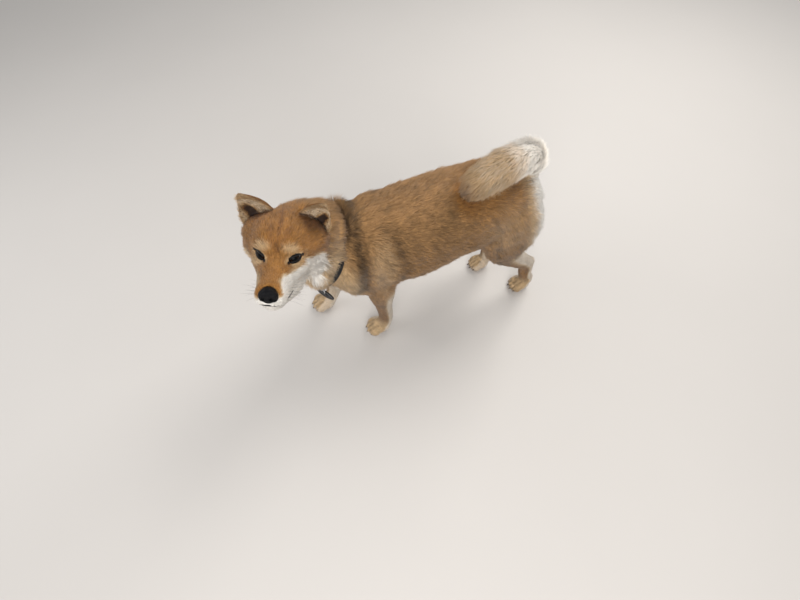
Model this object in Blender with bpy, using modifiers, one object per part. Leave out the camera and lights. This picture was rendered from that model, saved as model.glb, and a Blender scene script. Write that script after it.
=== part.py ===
"""A Shiba Inu at life size, standing with its head turned to its left, in separate solid pieces.

The dog faces -Y, its left side is +X and it stands on the plane z = 0. Units are metres.
"""

import math

import bmesh
import bpy
import numpy as np
from mathutils import Matrix, Vector
from mathutils.bvhtree import BVHTree

# Driving dimensions
JOINT_GAP = 0.0003
BODY_VOXEL = 0.0036
BODY_ROUNDS = 10
HEAD_ROUNDS = 34
HEAD_VOXEL = 0.0020
PAW_VOXEL = 0.0022
NOSE_VOXEL = 0.0012
TAIL_VOXEL = 0.0032
BODY_TRIANGLES = 4500
HEAD_TRIANGLES = 2400
LEG_TRIANGLES = 980
NOSE_TRIANGLES = 220
TAIL_TRIANGLES = 340

# The head's own frame: x to its left, -y along its muzzle, z up, origin inside the skull.
HEAD_ORIGIN = Vector((0.043, -0.247, 0.362))
HEAD_YAW = math.radians(76.0)
HEAD_PITCH = math.radians(28.0)
HEAD_ROLL = math.radians(-10.5)

# Torso cross-sections from chest to rump: y, top, bottom, half width
TORSO = [
    (-0.222, 0.268, 0.215, 0.024),
    (-0.208, 0.303, 0.190, 0.050),
    (-0.180, 0.332, 0.172, 0.067),
    (-0.135, 0.348, 0.163, 0.078),
    (-0.080, 0.352, 0.165, 0.083),
    (-0.020, 0.354, 0.176, 0.084),
    (0.045, 0.360, 0.200, 0.081),
    (0.105, 0.363, 0.212, 0.076),
    (0.155, 0.356, 0.212, 0.069),
    (0.188, 0.338, 0.220, 0.056),
    (0.206, 0.310, 0.240, 0.030),
]

# Centre line of the neck from inside the chest to inside the skull: x, y, z, half width, half height
NECK = [
    (0.000, -0.110, 0.268, 0.066, 0.074),
    (-0.002, -0.160, 0.286, 0.066, 0.070),
    (0.002, -0.200, 0.310, 0.064, 0.064),
    (0.018, -0.228, 0.336, 0.060, 0.057),
    (0.036, -0.244, 0.356, 0.050, 0.048),
]

# Ground contact of each foot: y of the middle of the foot, and x of the pair
FORE_X = 0.0485
HIND_X = 0.0420
FORE_LEFT_Y = -0.1290
FORE_RIGHT_Y = -0.2360
HIND_LEFT_Y = 0.2210
HIND_RIGHT_Y = 0.1520

# Elbow, stifle and hock of each leg: x, y, z
ELBOW_LEFT = (0.058, -0.114, 0.182)
ELBOW_RIGHT = (-0.058, -0.168, 0.184)
STIFLE_LEFT = (0.053, 0.124, 0.198)
STIFLE_RIGHT = (-0.053, 0.084, 0.198)
HOCK_LEFT = (0.043, 0.214, 0.100)
HOCK_RIGHT = (-0.043, 0.166, 0.099)

# Centre line of the tail: x, y, z, half width, half depth
TAIL = [
    (0.000, 0.152, 0.330, 0.020, 0.022),
    (-0.001, 0.172, 0.356, 0.023, 0.024),
    (0.006, 0.166, 0.381, 0.027, 0.026),
    (0.019, 0.134, 0.391, 0.031, 0.029),
    (0.028, 0.095, 0.386, 0.031, 0.028),
    (0.035, 0.062, 0.378, 0.023, 0.022),
    (0.038, 0.046, 0.374, 0.009, 0.009),
]
TAIL_ROOT_ROWS = 3

# Planes where the solids are parted: a point and the way the plane faces
HEAD_PLANE = (0.0560, Vector((0.62, 0.77, -0.12)))
TAIL_PLANE = (Vector((0.0, 0.169, 0.350)), Vector((0.0, 0.40, 0.92)))
BRUSH_PLANE = (Vector((0.0, 0.174, 0.366)), Vector((0.05, 0.12, 0.99)))
FORELEG_TOP = 0.160
HINDLEG_TOP = 0.198
PAW_TOP = 0.031

# Collar: middle of the band, the way it faces, half width and half height of the loop, band height
COLLAR_MIDDLE = Vector((0.006, -0.192, 0.283))
COLLAR_FACING = Vector((0.10, -0.86, 0.50)).normalized()
COLLAR_HALF = (0.0650, 0.0690)
COLLAR_BAND = 0.010
NECK_BEHIND_COLLAR = 0.008
COLLAR_THICK = 0.0026

# Hanging tag: where it hangs round the collar from the lowest point, its facing and half sizes
TAG_ANGLE = math.radians(38.0)
TAG_FACING = Vector((0.66, -0.74, 0.0)).normalized()
TAG_HALF = (0.0190, 0.0125)
TAG_THICK = 0.0022
TAG_HOLE = 0.0027
TAG_EDGE = 0.0042
RING_RADIUS = 0.0062
RING_TURN = math.radians(-48.0)
LUG_RADIUS = 0.0040
WIRE = 0.0008

# Eyes in the head's frame
EYE = Vector((0.0195, -0.0405, 0.0030))
EYE_RADIUS = 0.0118
EYE_GAZE = Vector((0.55, -0.83, 0.06))
EYE_SLANT = math.radians(22.0)

# Ears in the head's frame: middle of the base, tip, and the line across the base
EAR_BASE = Vector((0.0400, 0.0090, 0.0330))
EAR_TIP = Vector((0.0590, -0.0160, 0.0745))
EAR_ACROSS = Vector((0.75, 0.18, -0.64))
EAR_HALF_WIDTH = 0.0265
EAR_BOW = 0.0045

MOUTH_TURN = 112.0

# Locks of the tail. Shape rows: distance along, width and thickness, and share of the tail's radius
LOCK_SHAPE = [
    (-0.14, 0.75, 1.00, 0.42),
    (0.22, 1.00, 1.00, 0.72),
    (0.62, 0.80, 0.90, 0.96),
    (1.00, 0.12, 0.40, 1.08),
]
TAIL_LENGTH = 0.175
LOCK_THICK = 0.0017
LOCK_SEED = 11
TAIL_CORE = (1.0, 1.06, 0.97, 0.72, 0.62, 0.60)
TAIL_LOCK_ROWS = (0.26, 0.38, 0.50, 0.61, 0.72, 0.82)
TAIL_LOCKS_ROUND = 6
TAIL_LOCK_LENGTH = 0.046
TAIL_LOCK_WIDTH = 0.0150


def clear_scene():
    for old in list(bpy.data.objects):
        bpy.data.objects.remove(old)


def collection(name, hidden=False):
    made = bpy.data.collections.new(name)
    made.hide_render = hidden
    bpy.context.scene.collection.children.link(made)
    return made


def head_matrix():
    """Turns the head to the dog's left, lifts the muzzle and drops the left ear a little."""
    turn = Matrix.Rotation(HEAD_YAW, 4, "Z")
    lift = Matrix.Rotation(-HEAD_PITCH, 4, "X")
    lean = Matrix.Rotation(-HEAD_ROLL, 4, "Y")
    return Matrix.Translation(HEAD_ORIGIN) @ turn @ lift @ lean


HEAD = head_matrix()


def smooth_rows(rows, count):
    """Catmull-Rom samples through rows of numbers, evenly spaced along them."""
    rows = np.array(rows, float)
    padded = np.vstack([2 * rows[0] - rows[1], rows, 2 * rows[-1] - rows[-2]])
    samples = []
    for t in np.linspace(0, len(rows) - 1, count):
        i = min(int(t), len(rows) - 2)
        f = t - i
        a, b, c, d = padded[i : i + 4]
        samples.append(
            0.5 * (2 * b + (c - a) * f + (2 * a - 5 * b + 4 * c - d) * f**2
                   + (3 * b - a - 3 * c + d) * f**3)
        )
    return np.array(samples)


def skin_of_rings(name, rings, home):
    """A closed mesh over rings of points, with a flat fan on each end."""
    mesh = bmesh.new()
    loops = [[mesh.verts.new(p) for p in ring] for ring in rings]
    for one, two in zip(loops, loops[1:]):
        for i in range(len(one)):
            j = (i + 1) % len(one)
            mesh.faces.new((one[i], one[j], two[j], two[i]))
    mesh.faces.new(loops[0][::-1])
    mesh.faces.new(loops[-1])
    bmesh.ops.recalc_face_normals(mesh, faces=mesh.faces)
    data = bpy.data.meshes.new(name)
    mesh.to_mesh(data)
    mesh.free()
    obj = bpy.data.objects.new(name, data)
    home.objects.link(obj)
    return obj


def barrel(name, sections, home, sides=36, count=44):
    """A body along Y from sections of (y, top, bottom, half width)."""
    rings = []
    for y, top, bottom, half in smooth_rows(sections, count):
        middle = (top + bottom) / 2
        tall = (top - bottom) / 2
        angles = np.linspace(0, 2 * math.pi, sides, endpoint=False)
        rings.append([(half * math.cos(a), y, middle + tall * math.sin(a)) for a in angles])
    return skin_of_rings(name, rings, home)


def limb(name, stations, home, across=Vector((1, 0, 0)), sides=20, count=30):
    """A tube along stations of (x, y, z, half width across, half depth)."""
    samples = smooth_rows(stations, count)
    centres = [Vector(s[:3]) for s in samples]
    rings = []
    for i, sample in enumerate(samples):
        along = centres[min(i + 1, count - 1)] - centres[max(i - 1, 0)]
        along.normalize()
        side = (across - along * across.dot(along)).normalized()
        depth = along.cross(side)
        ring = []
        for k in range(sides):
            a = 2 * math.pi * k / sides
            ring.append(centres[i] + side * sample[3] * math.cos(a) + depth * sample[4] * math.sin(a))
        rings.append(ring)
    return skin_of_rings(name, rings, home)


def blob(name, centre, radii, home, turn=(0, 0, 0), detail=3):
    """An ellipsoid."""
    mesh = bmesh.new()
    bmesh.ops.create_icosphere(mesh, subdivisions=detail, radius=1.0)
    data = bpy.data.meshes.new(name)
    spin = Matrix.Rotation(turn[2], 4, "Z") @ Matrix.Rotation(turn[1], 4, "Y") @ Matrix.Rotation(turn[0], 4, "X")
    mesh.transform(Matrix.Translation(centre) @ spin @ Matrix.Diagonal((*radii, 1.0)))
    mesh.to_mesh(data)
    mesh.free()
    obj = bpy.data.objects.new(name, data)
    home.objects.link(obj)
    return obj


def fused(name, forms, voxel, rounds, triangles, home, matrix=None):
    """One skin over overlapping closed forms: joined, remeshed, smoothed and thinned to a triangle count."""
    mesh = bmesh.new()
    for form in forms:
        mesh.from_mesh(form.data)
    data = bpy.data.meshes.new(name)
    mesh.to_mesh(data)
    mesh.free()
    rough = bpy.data.objects.new(name + "_rough", data)
    home.objects.link(rough)
    remesh = rough.modifiers.new("Remesh", "REMESH")
    remesh.mode = "VOXEL"
    remesh.voxel_size = voxel
    smooth = rough.modifiers.new("Smooth", "SMOOTH")
    smooth.factor = 0.5
    smooth.iterations = rounds
    graph = bpy.context.evaluated_depsgraph_get()
    evaluated = rough.evaluated_get(graph)
    fine = bpy.data.meshes.new_from_object(evaluated)
    ratio = triangles / (2 * len(fine.polygons))
    rough.modifiers.clear()
    rough.data = fine
    decimate = rough.modifiers.new("Decimate", "DECIMATE")
    decimate.ratio = ratio
    graph = bpy.context.evaluated_depsgraph_get()
    thin = bpy.data.meshes.new_from_object(rough.evaluated_get(graph))
    bpy.data.objects.remove(rough)
    if matrix:
        thin.transform(matrix)
    obj = bpy.data.objects.new(name, thin)
    home.objects.link(obj)
    return obj


def foreleg_forms(side, paw_y, elbow, home):
    """Forearm and wrist down to the pad. side is 1 on the dog's left."""
    x = side * FORE_X
    heel = paw_y + 0.008
    wrist = (x + side * 0.001, heel + 0.010 + (elbow[1] - heel) * 0.18, 0.050)
    middle = [elbow[i] * 0.5 + wrist[i] * 0.5 for i in range(3)]
    stations = [
        (side * 0.046, elbow[1] - 0.004, elbow[2] + 0.075, 0.024, 0.036),
        (*elbow, 0.0240, 0.0290),
        (*middle, 0.0170, 0.0185),
        (*wrist, 0.0150, 0.0160),
        (x, heel + 0.004, 0.022, 0.0160, 0.0165),
    ]
    return [limb("foreleg", stations, home)]


def hindleg_forms(side, paw_y, stifle, hock, home):
    """Thigh, lower leg and hock down to the pad. side is 1 on the dog's left."""
    x = side * HIND_X
    heel = paw_y + 0.007
    stations = [
        (side * 0.044, 0.130, 0.275, 0.032, 0.058),
        (side * 0.053, (stifle[1] + 0.135) / 2 + 0.012, 0.230, 0.032, 0.050),
        (stifle[0], stifle[1] + 0.012, stifle[2], 0.026, 0.035),
        (
            stifle[0] * 0.45 + hock[0] * 0.55,
            stifle[1] * 0.42 + hock[1] * 0.58,
            stifle[2] * 0.45 + hock[2] * 0.55,
            0.0180,
            0.0230,
        ),
        (*hock, 0.0135, 0.0185),
        (
            hock[0] * 0.5 + x * 0.5,
            hock[1] * 0.60 + (heel + 0.008) * 0.40,
            hock[2] * 0.50 + 0.008,
            0.0130,
            0.0155,
        ),
        (x, heel + 0.008, 0.026, 0.0145, 0.0160),
    ]
    heel_bone = (hock[0], hock[1] + 0.009, hock[2] + 0.006)
    return [
        limb("hindleg", stations, home, count=40),
        blob("heel", heel_bone, (0.009, 0.011, 0.015), home),
    ]


def paw_forms(x, paw_y, scale, home):
    """A foot: the pad, four toes with the middle two ahead, and a claw on each toe."""
    forms = [
        blob("pad", (x, paw_y + 0.004, 0.0150), (0.0200 * scale, 0.0230 * scale, 0.0180), home),
        blob("pastern", (x, paw_y + 0.010, 0.0220), (0.0150 * scale, 0.0165 * scale, 0.0150), home),
    ]
    for across, ahead in ((-0.0148, 0.009), (-0.0053, 0.016), (0.0053, 0.016), (0.0148, 0.009)):
        toe = Vector((x + across * scale, paw_y - ahead * scale, 0.0105))
        turn = (0, 0, across * 12.0)
        forms.append(blob("toe", toe, (0.0073 * scale, 0.0130 * scale, 0.0135), home, turn))
        forms.append(
            blob("knuckle", toe + Vector((0, 0.006, 0.0060)), (0.0062, 0.0090, 0.0085), home, turn)
        )
    return forms


def claws(x, paw_y, scale, home):
    """Four short curved claws standing out of the toes."""
    made = []
    for across, ahead in ((-0.0148, 0.009), (-0.0053, 0.016), (0.0053, 0.016), (0.0148, 0.009)):
        out = across * 0.35
        tip_y = paw_y - ahead * scale
        stations = [
            (x + across * scale, tip_y - 0.0080, 0.0120, 0.0017, 0.0019),
            (x + (across + out * 0.20) * scale, tip_y - 0.0125, 0.0105, 0.0015, 0.0017),
            (x + (across + out * 0.40) * scale, tip_y - 0.0155, 0.0070, 0.0008, 0.0009),
        ]
        made.append(limb("claw", stations, home, sides=6, count=3))
    return made


def head_forms(home):
    """Skull, cheeks, muzzle and jaw in the head's own frame."""
    forms = [
        blob("cranium", (0, 0.004, 0.004), (0.056, 0.060, 0.046), home),
        blob("nape", (0.010, 0.036, 0.004), (0.048, 0.036, 0.044), home),
        blob("stop", (0, -0.048, -0.002), (0.018, 0.026, 0.013), home, (0.42, 0, 0)),
        limb(
            "muzzle",
            [
                (0, 0.000, -0.016, 0.040, 0.034),
                (0, -0.040, -0.019, 0.034, 0.027),
                (0, -0.060, -0.0245, 0.0270, 0.0230),
                (0, -0.085, -0.0285, 0.0220, 0.0190),
                (0, -0.102, -0.0310, 0.0192, 0.0172),
                (0, -0.111, -0.0330, 0.0135, 0.0130),
            ],
            home,
        ),
        limb(
            "jaw",
            [
                (0, 0.010, -0.038, 0.037, 0.030),
                (0, -0.032, -0.047, 0.033, 0.027),
                (0, -0.058, -0.0480, 0.0265, 0.0200),
                (0, -0.078, -0.0470, 0.0205, 0.0145),
                (0, -0.097, -0.0455, 0.0150, 0.0110),
            ],
            home,
        ),
    ]
    for side in (1, -1):
        eye = Vector((side * EYE.x, EYE.y, EYE.z))
        forms += [
            blob("forehead", (side * 0.014, -0.012, 0.015), (0.031, 0.038, 0.027), home),
            blob("cheek", (side * 0.036, 0.012, -0.008), (0.0285, 0.034, 0.031), home, (0, 0, side * -0.2)),
            blob("temple", (side * 0.037, 0.004, 0.013), (0.0255, 0.030, 0.024), home),
            blob("ruff", (side * 0.031, 0.030, -0.018), (0.031, 0.032, 0.040), home),
            blob("brow", (side * 0.022, -0.036, 0.0155), (0.016, 0.015, 0.0095), home),
            blob("cheekbone", (side * 0.0225, -0.022, -0.013), (0.0200, 0.033, 0.022), home),
            blob("lids", eye, (0.0152, 0.0152, 0.0148), home),
            blob("lip", (side * 0.0115, -0.092, -0.0370), (0.0110, 0.0180, 0.0090), home),
        ]
    return forms


def in_head(point):
    return HEAD @ Vector(point)


def direction_in_head(way):
    return (HEAD.to_3x3() @ Vector(way)).normalized()


def frame_along(point, facing, up=Vector((0, 0, 1))):
    """A matrix whose z axis faces one way and whose y axis is as near to up as it can be."""
    z = facing.normalized()
    y = (up - z * up.dot(z)).normalized()
    x = y.cross(z)
    return Matrix.Translation(point) @ Matrix((x, y, z)).transposed().to_4x4()


def carve(target, tool, operation="DIFFERENCE", solver="EXACT"):
    """A live Boolean on target with a hidden tool."""
    tool.hide_render = True
    tool.display_type = "WIRE"
    modifier = target.modifiers.new(operation.title(), "BOOLEAN")
    modifier.operation = operation
    modifier.solver = solver
    modifier.object = tool


def applied(obj):
    """Turns an object's modifiers into plain mesh."""
    graph = bpy.context.evaluated_depsgraph_get()
    mesh = bpy.data.meshes.new_from_object(obj.evaluated_get(graph))
    obj.modifiers.clear()
    obj.data = mesh
    return obj


def swollen(obj, name, amount, home):
    """A copy of an object's finished shape, larger by amount all round."""
    graph = bpy.context.evaluated_depsgraph_get()
    mesh = bpy.data.meshes.new_from_object(obj.evaluated_get(graph))
    copy = bpy.data.objects.new(name, mesh)
    home.objects.link(copy)
    grow = copy.modifiers.new("Grow", "DISPLACE")
    grow.mid_level = 0.0
    grow.strength = amount
    return applied(copy)


def box(name, low, high, home, matrix=None):
    """A box between two corners, in a frame of its own when one is given."""
    mesh = bmesh.new()
    bmesh.ops.create_cube(mesh, size=1.0)
    low, high = Vector(low), Vector(high)
    mesh.transform(Matrix.Translation((low + high) / 2) @ Matrix.Diagonal((*(high - low), 1.0)))
    if matrix:
        mesh.transform(matrix)
    data = bpy.data.meshes.new(name)
    mesh.to_mesh(data)
    mesh.free()
    obj = bpy.data.objects.new(name, data)
    home.objects.link(obj)
    return obj


def beyond(name, point, facing, offset, home, reach=0.60):
    """A box filling the space in front of a plane."""
    frame = frame_along(point, facing)
    return box(name, (-reach, -reach, offset), (reach, reach, offset + reach), home, frame)


def material(name, colour, roughness, metallic=0.0):
    made = bpy.data.materials.new(name)
    made.use_nodes = True
    shader = made.node_tree.nodes["Principled BSDF"]
    shader.inputs["Base Color"].default_value = (*colour, 1.0)
    shader.inputs["Roughness"].default_value = roughness
    shader.inputs["Metallic"].default_value = metallic
    made.diffuse_color = (*colour, 1.0)
    return made


def node(name, source, home, made):
    """A new named object sharing another object's mesh, with a material of its own."""
    obj = bpy.data.objects.new(name, source.data.copy())
    obj.data.materials.clear()
    obj.data.materials.append(made)
    home.objects.link(obj)
    return obj


def smooth_shaded(obj):
    for polygon in obj.data.polygons:
        polygon.use_smooth = True


def ear_form(name, side, home):
    """A thick pointed ear, hollow in front, from crescent sections between base and tip."""
    mirror = Matrix.Diagonal((side, 1, 1))
    base, tip = mirror @ EAR_BASE, mirror @ EAR_TIP
    across = mirror @ EAR_ACROSS
    axis = (tip - base).normalized()
    across = (across - axis * across.dot(axis)).normalized()
    back = across.cross(axis) * side
    if back.y < 0:
        back = -back
    length = (tip - base).length
    rings = []
    for t, width, out, hollow in (
        (-0.22, 1.02, 0.0270, 0.0060),
        (0.02, 1.00, 0.0250, 0.0135),
        (0.20, 0.93, 0.0210, 0.0130),
        (0.42, 0.75, 0.0160, 0.0098),
        (0.64, 0.53, 0.0110, 0.0060),
        (0.83, 0.34, 0.0070, 0.0028),
        (0.95, 0.20, 0.0046, 0.0012),
        (1.00, 0.10, 0.0030, 0.0005),
    ):
        middle = base + axis * (length * t) + back * (EAR_BOW * math.sin(math.pi * min(max(t, 0), 1)))
        half = EAR_HALF_WIDTH * width
        ring = []
        for k in range(9):
            a = math.pi * k / 8
            ring.append(middle - across * (half * math.cos(a)) + back * (out * math.sin(a)))
        for k in range(1, 6):
            a = math.pi * k / 6
            ring.append(middle + across * (half * 0.82 * math.cos(a)) + back * (hollow * math.sin(a)))
        rings.append([HEAD @ p for p in ring])
    return skin_of_rings(name, rings, home)


def eye_opening(name, side, home):
    """An almond prism through the lids, slanting up toward the outer corner."""
    gaze = direction_in_head((side * EYE_GAZE.x, EYE_GAZE.y, EYE_GAZE.z))
    centre = in_head((side * EYE.x, EYE.y, EYE.z))
    frame = frame_along(centre, gaze, direction_in_head((0, 0, 1)))
    frame = frame @ Matrix.Rotation(EYE_SLANT * side, 4, "Z")
    outline = []
    count = 18
    for k in range(count):
        a = 2 * math.pi * k / count
        u, v = math.cos(a), math.sin(a)
        high = 0.0060 if v > 0 else 0.0048
        outline.append((0.0113 * u, high * v * (1 - 0.25 * u * u)))
    rings = [[frame @ Vector((x, y, z)) for x, y in outline] for z in (-0.001, 0.030)]
    return skin_of_rings(name, rings, home)


def ring_solid(name, middle, facing, halves, high, thick, home, steps=40):
    """A closed band standing on an oval loop."""
    frame = frame_along(middle, facing)
    rings = []
    for k in range(steps):
        a = 2 * math.pi * k / steps
        ring = []
        for radial, level in ((0, -0.5), (1, -0.5), (1, 0.5), (0, 0.5)):
            x = (halves[0] + radial * thick) * math.cos(a)
            y = (halves[1] + radial * thick) * math.sin(a)
            ring.append(frame @ Vector((x, y, level * high)))
        rings.append(ring)
    mesh = bmesh.new()
    loops = [[mesh.verts.new(p) for p in ring] for ring in rings]
    for one, two in zip(loops, loops[1:] + loops[:1]):
        for i in range(4):
            j = (i + 1) % 4
            mesh.faces.new((one[i], one[j], two[j], two[i]))
    bmesh.ops.recalc_face_normals(mesh, faces=mesh.faces)
    data = bpy.data.meshes.new(name)
    mesh.to_mesh(data)
    mesh.free()
    obj = bpy.data.objects.new(name, data)
    home.objects.link(obj)
    return obj


def neck_forms(home):
    return [
        limb("neck_form", NECK, home, sides=28),
        blob("throat", (0.021, -0.211, 0.268), (0.051, 0.040, 0.049), home),
    ]


def trunk_forms(home):
    """Torso, withers, breast, shoulders and haunches, with the root of the tail."""
    forms = [
        barrel("torso_form", TORSO, home),
        blob("withers", (0, -0.120, 0.300), (0.062, 0.060, 0.047), home),
        blob("breast", (0.004, -0.188, 0.228), (0.052, 0.036, 0.056), home),
        limb("tail_stub", TAIL[:TAIL_ROOT_ROWS], home, count=14),
    ]
    for side in (1, -1):
        shoulder = (side * 0.055, -0.142, 0.250)
        forms.append(blob("shoulder", shoulder, (0.030, 0.052, 0.070), home, (0.35, 0, 0)))
        forms.append(blob("haunch", (side * 0.050, 0.140, 0.255), (0.033, 0.062, 0.074), home))
    return forms


def moved_to_head(forms):
    for form in forms:
        form.data.transform(HEAD)
    return forms


def nose_forms(home):
    """The nose leather: a pad with a wing round each nostril."""
    forms = [
        blob("bridge", (0, -0.1065, -0.0205), (0.0105, 0.0105, 0.0075), home),
        blob("tip", (0, -0.1095, -0.0260), (0.0095, 0.0070, 0.0095), home),
    ]
    for side in (1, -1):
        forms.append(blob("wing", (side * 0.0072, -0.1080, -0.0250), (0.0064, 0.0080, 0.0082), home))
    return moved_to_head(forms)


def nostrils(home):
    """Two comma-shaped cutters curling outward and back."""
    made = []
    for side in (1, -1):
        stations = [
            (side * 0.0044, -0.1195, -0.0262, 0.0024, 0.0022),
            (side * 0.0062, -0.1135, -0.0262, 0.0030, 0.0026),
            (side * 0.0112, -0.1125, -0.0282, 0.0018, 0.0017),
            (side * 0.0165, -0.1090, -0.0292, 0.0010, 0.0010),
        ]
        made.append(limb("nostril", stations, home, across=Vector((0, 0, 1)), sides=8, count=9))
    return moved_to_head(made)


def lip_line(head, home):
    """A groove following the mouth round the muzzle, and one up to the nose."""
    tree = BVHTree.FromObject(head, bpy.context.evaluated_depsgraph_get())
    hits = []
    for k in range(17):
        turn = math.radians(MOUTH_TURN * (k / 8 - 1))
        level = -0.0405 - 0.0035 * (k / 8 - 1) ** 2
        way = Vector((-math.sin(turn), math.cos(turn), 0))
        start = in_head(Vector((0, -0.082, level)) - way * 0.08)
        hits.append(tree.ray_cast(start, HEAD.to_3x3() @ way)[0])
    rows = [(*hit, 0.0013, 0.0013) for hit in hits]
    rows[0] = (*hits[0], 0.0006, 0.0006)
    rows[-1] = (*hits[-1], 0.0006, 0.0006)
    mouth = limb("mouth_line", rows, home, across=direction_in_head((0, 0, 1)), sides=6, count=49)
    rows = []
    for level in (-0.0300, -0.0340, -0.0375):
        hit = tree.ray_cast(in_head((0, -0.150, level)), direction_in_head((0, 1, 0)))[0]
        rows.append((*hit, 0.0009, 0.0009))
    across = direction_in_head((1, 0, 0))
    return mouth, limb("lip_furrow", rows, home, across=across, sides=6, count=5)


def joined(name, parts, home):
    """Several separate closed pieces as one object."""
    mesh = bmesh.new()
    for part in parts:
        mesh.from_mesh(part.data)
        bpy.data.objects.remove(part)
    data = bpy.data.meshes.new(name)
    mesh.to_mesh(data)
    mesh.free()
    obj = bpy.data.objects.new(name, data)
    home.objects.link(obj)
    return obj


def largest_part(obj):
    """Keeps only the largest connected surface of a mesh."""
    mesh = bmesh.new()
    mesh.from_mesh(obj.data)
    left = set(mesh.verts)
    islands = []
    while left:
        island = set()
        edge = [left.pop()]
        while edge:
            vertex = edge.pop()
            island.add(vertex)
            for link in vertex.link_edges:
                other = link.other_vert(vertex)
                if other in left:
                    left.discard(other)
                    edge.append(other)
        islands.append(island)
    islands.sort(key=len, reverse=True)
    for island in islands[1:]:
        bmesh.ops.delete(mesh, geom=list(island), context="VERTS")
    mesh.to_mesh(obj.data)
    mesh.free()
    return obj


def with_locks(core, locks):
    """Unites a solid with a collection of locks and keeps one closed surface."""
    union = core.modifiers.new("Locks", "BOOLEAN")
    union.operation = "UNION"
    union.solver = "MANIFOLD"
    union.operand_type = "COLLECTION"
    union.collection = locks
    applied(core)
    for piece in list(locks.objects):
        bpy.data.objects.remove(piece)
    bpy.data.collections.remove(locks)
    return largest_part(core)


def tail_place(path, along, angle, share):
    """A point in the tail at a distance along it, at an angle round it and a share of its radius."""
    i = min(max(along, 0.0), 0.98) * (len(path) - 1)
    low = int(i)
    row = path[low] + (path[low + 1] - path[low]) * (i - low)
    way = Vector((path[low + 1] - path[low])[:3]).normalized()
    side = (Vector((1, 0, 0)) - way * way.x).normalized()
    out = side * math.cos(angle) * row[3] + way.cross(side) * math.sin(angle) * row[4]
    beyond_end = max(along - 0.98, 0.0) * TAIL_LENGTH
    return Vector(row[:3]) + out * share + way * beyond_end, way.cross(out).normalized()


def tail_locks(rng, locks):
    """Rows of flat tapered locks that bend with the tail, each row half a step on from the last."""
    path = smooth_rows(TAIL, 200)
    for row, along in enumerate(TAIL_LOCK_ROWS):
        for k in range(TAIL_LOCKS_ROUND):
            angle = 2 * math.pi * (k + 0.5 * (row % 2) + rng.uniform(-0.10, 0.10)) / TAIL_LOCKS_ROUND
            length = TAIL_LOCK_LENGTH / TAIL_LENGTH * rng.uniform(0.88, 1.12)
            sway = rng.uniform(-0.16, 0.16)
            size = rng.uniform(0.92, 1.08) * (1.0 - 0.25 * row / len(TAIL_LOCK_ROWS))
            stations = []
            for t, wide, thick, share in LOCK_SHAPE:
                point, across = tail_place(path, along + length * t, angle + sway * t * t, share)
                stations.append((*point, TAIL_LOCK_WIDTH * wide * size, LOCK_THICK * thick))
            limb("lock", stations, locks, across=across, sides=4, count=len(LOCK_SHAPE))


def wire(name, middle, facing, radius, thickness, home, steps=20, sides=6):
    """A round wire ring."""
    frame = frame_along(middle, facing)
    stations = []
    for k in range(steps):
        a = 2 * math.pi * k / steps
        stations.append(frame @ Vector((radius * math.cos(a), radius * math.sin(a), 0)))
    axis = facing.normalized()
    mesh = bmesh.new()
    loops = []
    for k, point in enumerate(stations):
        out = (point - middle).normalized()
        loop = []
        for i in range(sides):
            b = 2 * math.pi * i / sides
            loop.append(mesh.verts.new(point + out * thickness * math.cos(b) + axis * thickness * math.sin(b)))
        loops.append(loop)
    for one, two in zip(loops, loops[1:] + loops[:1]):
        for i in range(sides):
            j = (i + 1) % sides
            mesh.faces.new((one[i], one[j], two[j], two[i]))
    bmesh.ops.recalc_face_normals(mesh, faces=mesh.faces)
    data = bpy.data.meshes.new(name)
    mesh.to_mesh(data)
    mesh.free()
    obj = bpy.data.objects.new(name, data)
    home.objects.link(obj)
    return obj


def oval_plate(name, middle, facing, up, halves, thick, home, steps=26):
    """A flat oval tag standing on the given plane."""
    frame = frame_along(middle, facing, up)
    rings = []
    for level, grow in ((-0.5, 0.94), (-0.3, 1.0), (0.3, 1.0), (0.5, 0.94)):
        ring = []
        for k in range(steps):
            a = 2 * math.pi * k / steps
            ring.append(
                frame @ Vector((halves[0] * grow * math.cos(a), halves[1] * grow * math.sin(a), level * thick))
            )
        rings.append(ring)
    return skin_of_rings(name, rings, home)


def part_at(planes, source, name, home, tools, made):
    """A node of a larger solid, kept behind each plane given as (point, facing)."""
    obj = node(name, source, home, made)
    for point, facing in planes:
        carve(obj, beyond(name + "_cut", point, facing, -JOINT_GAP / 2, tools))
    return obj


def leg_nodes(torso, body, side, spec, flesh, dog, tools, forms, coats):
    """A leg down to the wrist or heel and its foot, and the room they take in the torso."""
    leg_name, paw_name, x, y, top, scale, reach = spec
    half = JOINT_GAP / 2
    inner, outer = sorted((side * 0.002, side * 0.150))
    low, high = (inner, y - reach[0]), (outer, y + reach[1])
    carve(torso, box(leg_name + "_room", (*low, -0.05), (*high, top + half), tools))
    leg = node(leg_name, body, dog, coats["red"])
    carve(leg, box(leg_name + "_part", (*low, PAW_TOP + half), (*high, top - half), tools), "INTERSECT")
    whole = paw_forms(side * x, y, scale, forms) + flesh
    paw = largest_part(fused(paw_name, whole, PAW_VOXEL, 8, LEG_TRIANGLES, dog))
    paw.data.materials.append(coats["cream"])
    nails = joined(paw_name + "_claws", claws(side * x, y, scale, tools), tools)
    carve(paw, nails, "UNION")
    carve(paw, box(paw_name + "_part", (*low, 0.0), (*high, PAW_TOP - half), tools), "INTERSECT")


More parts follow.
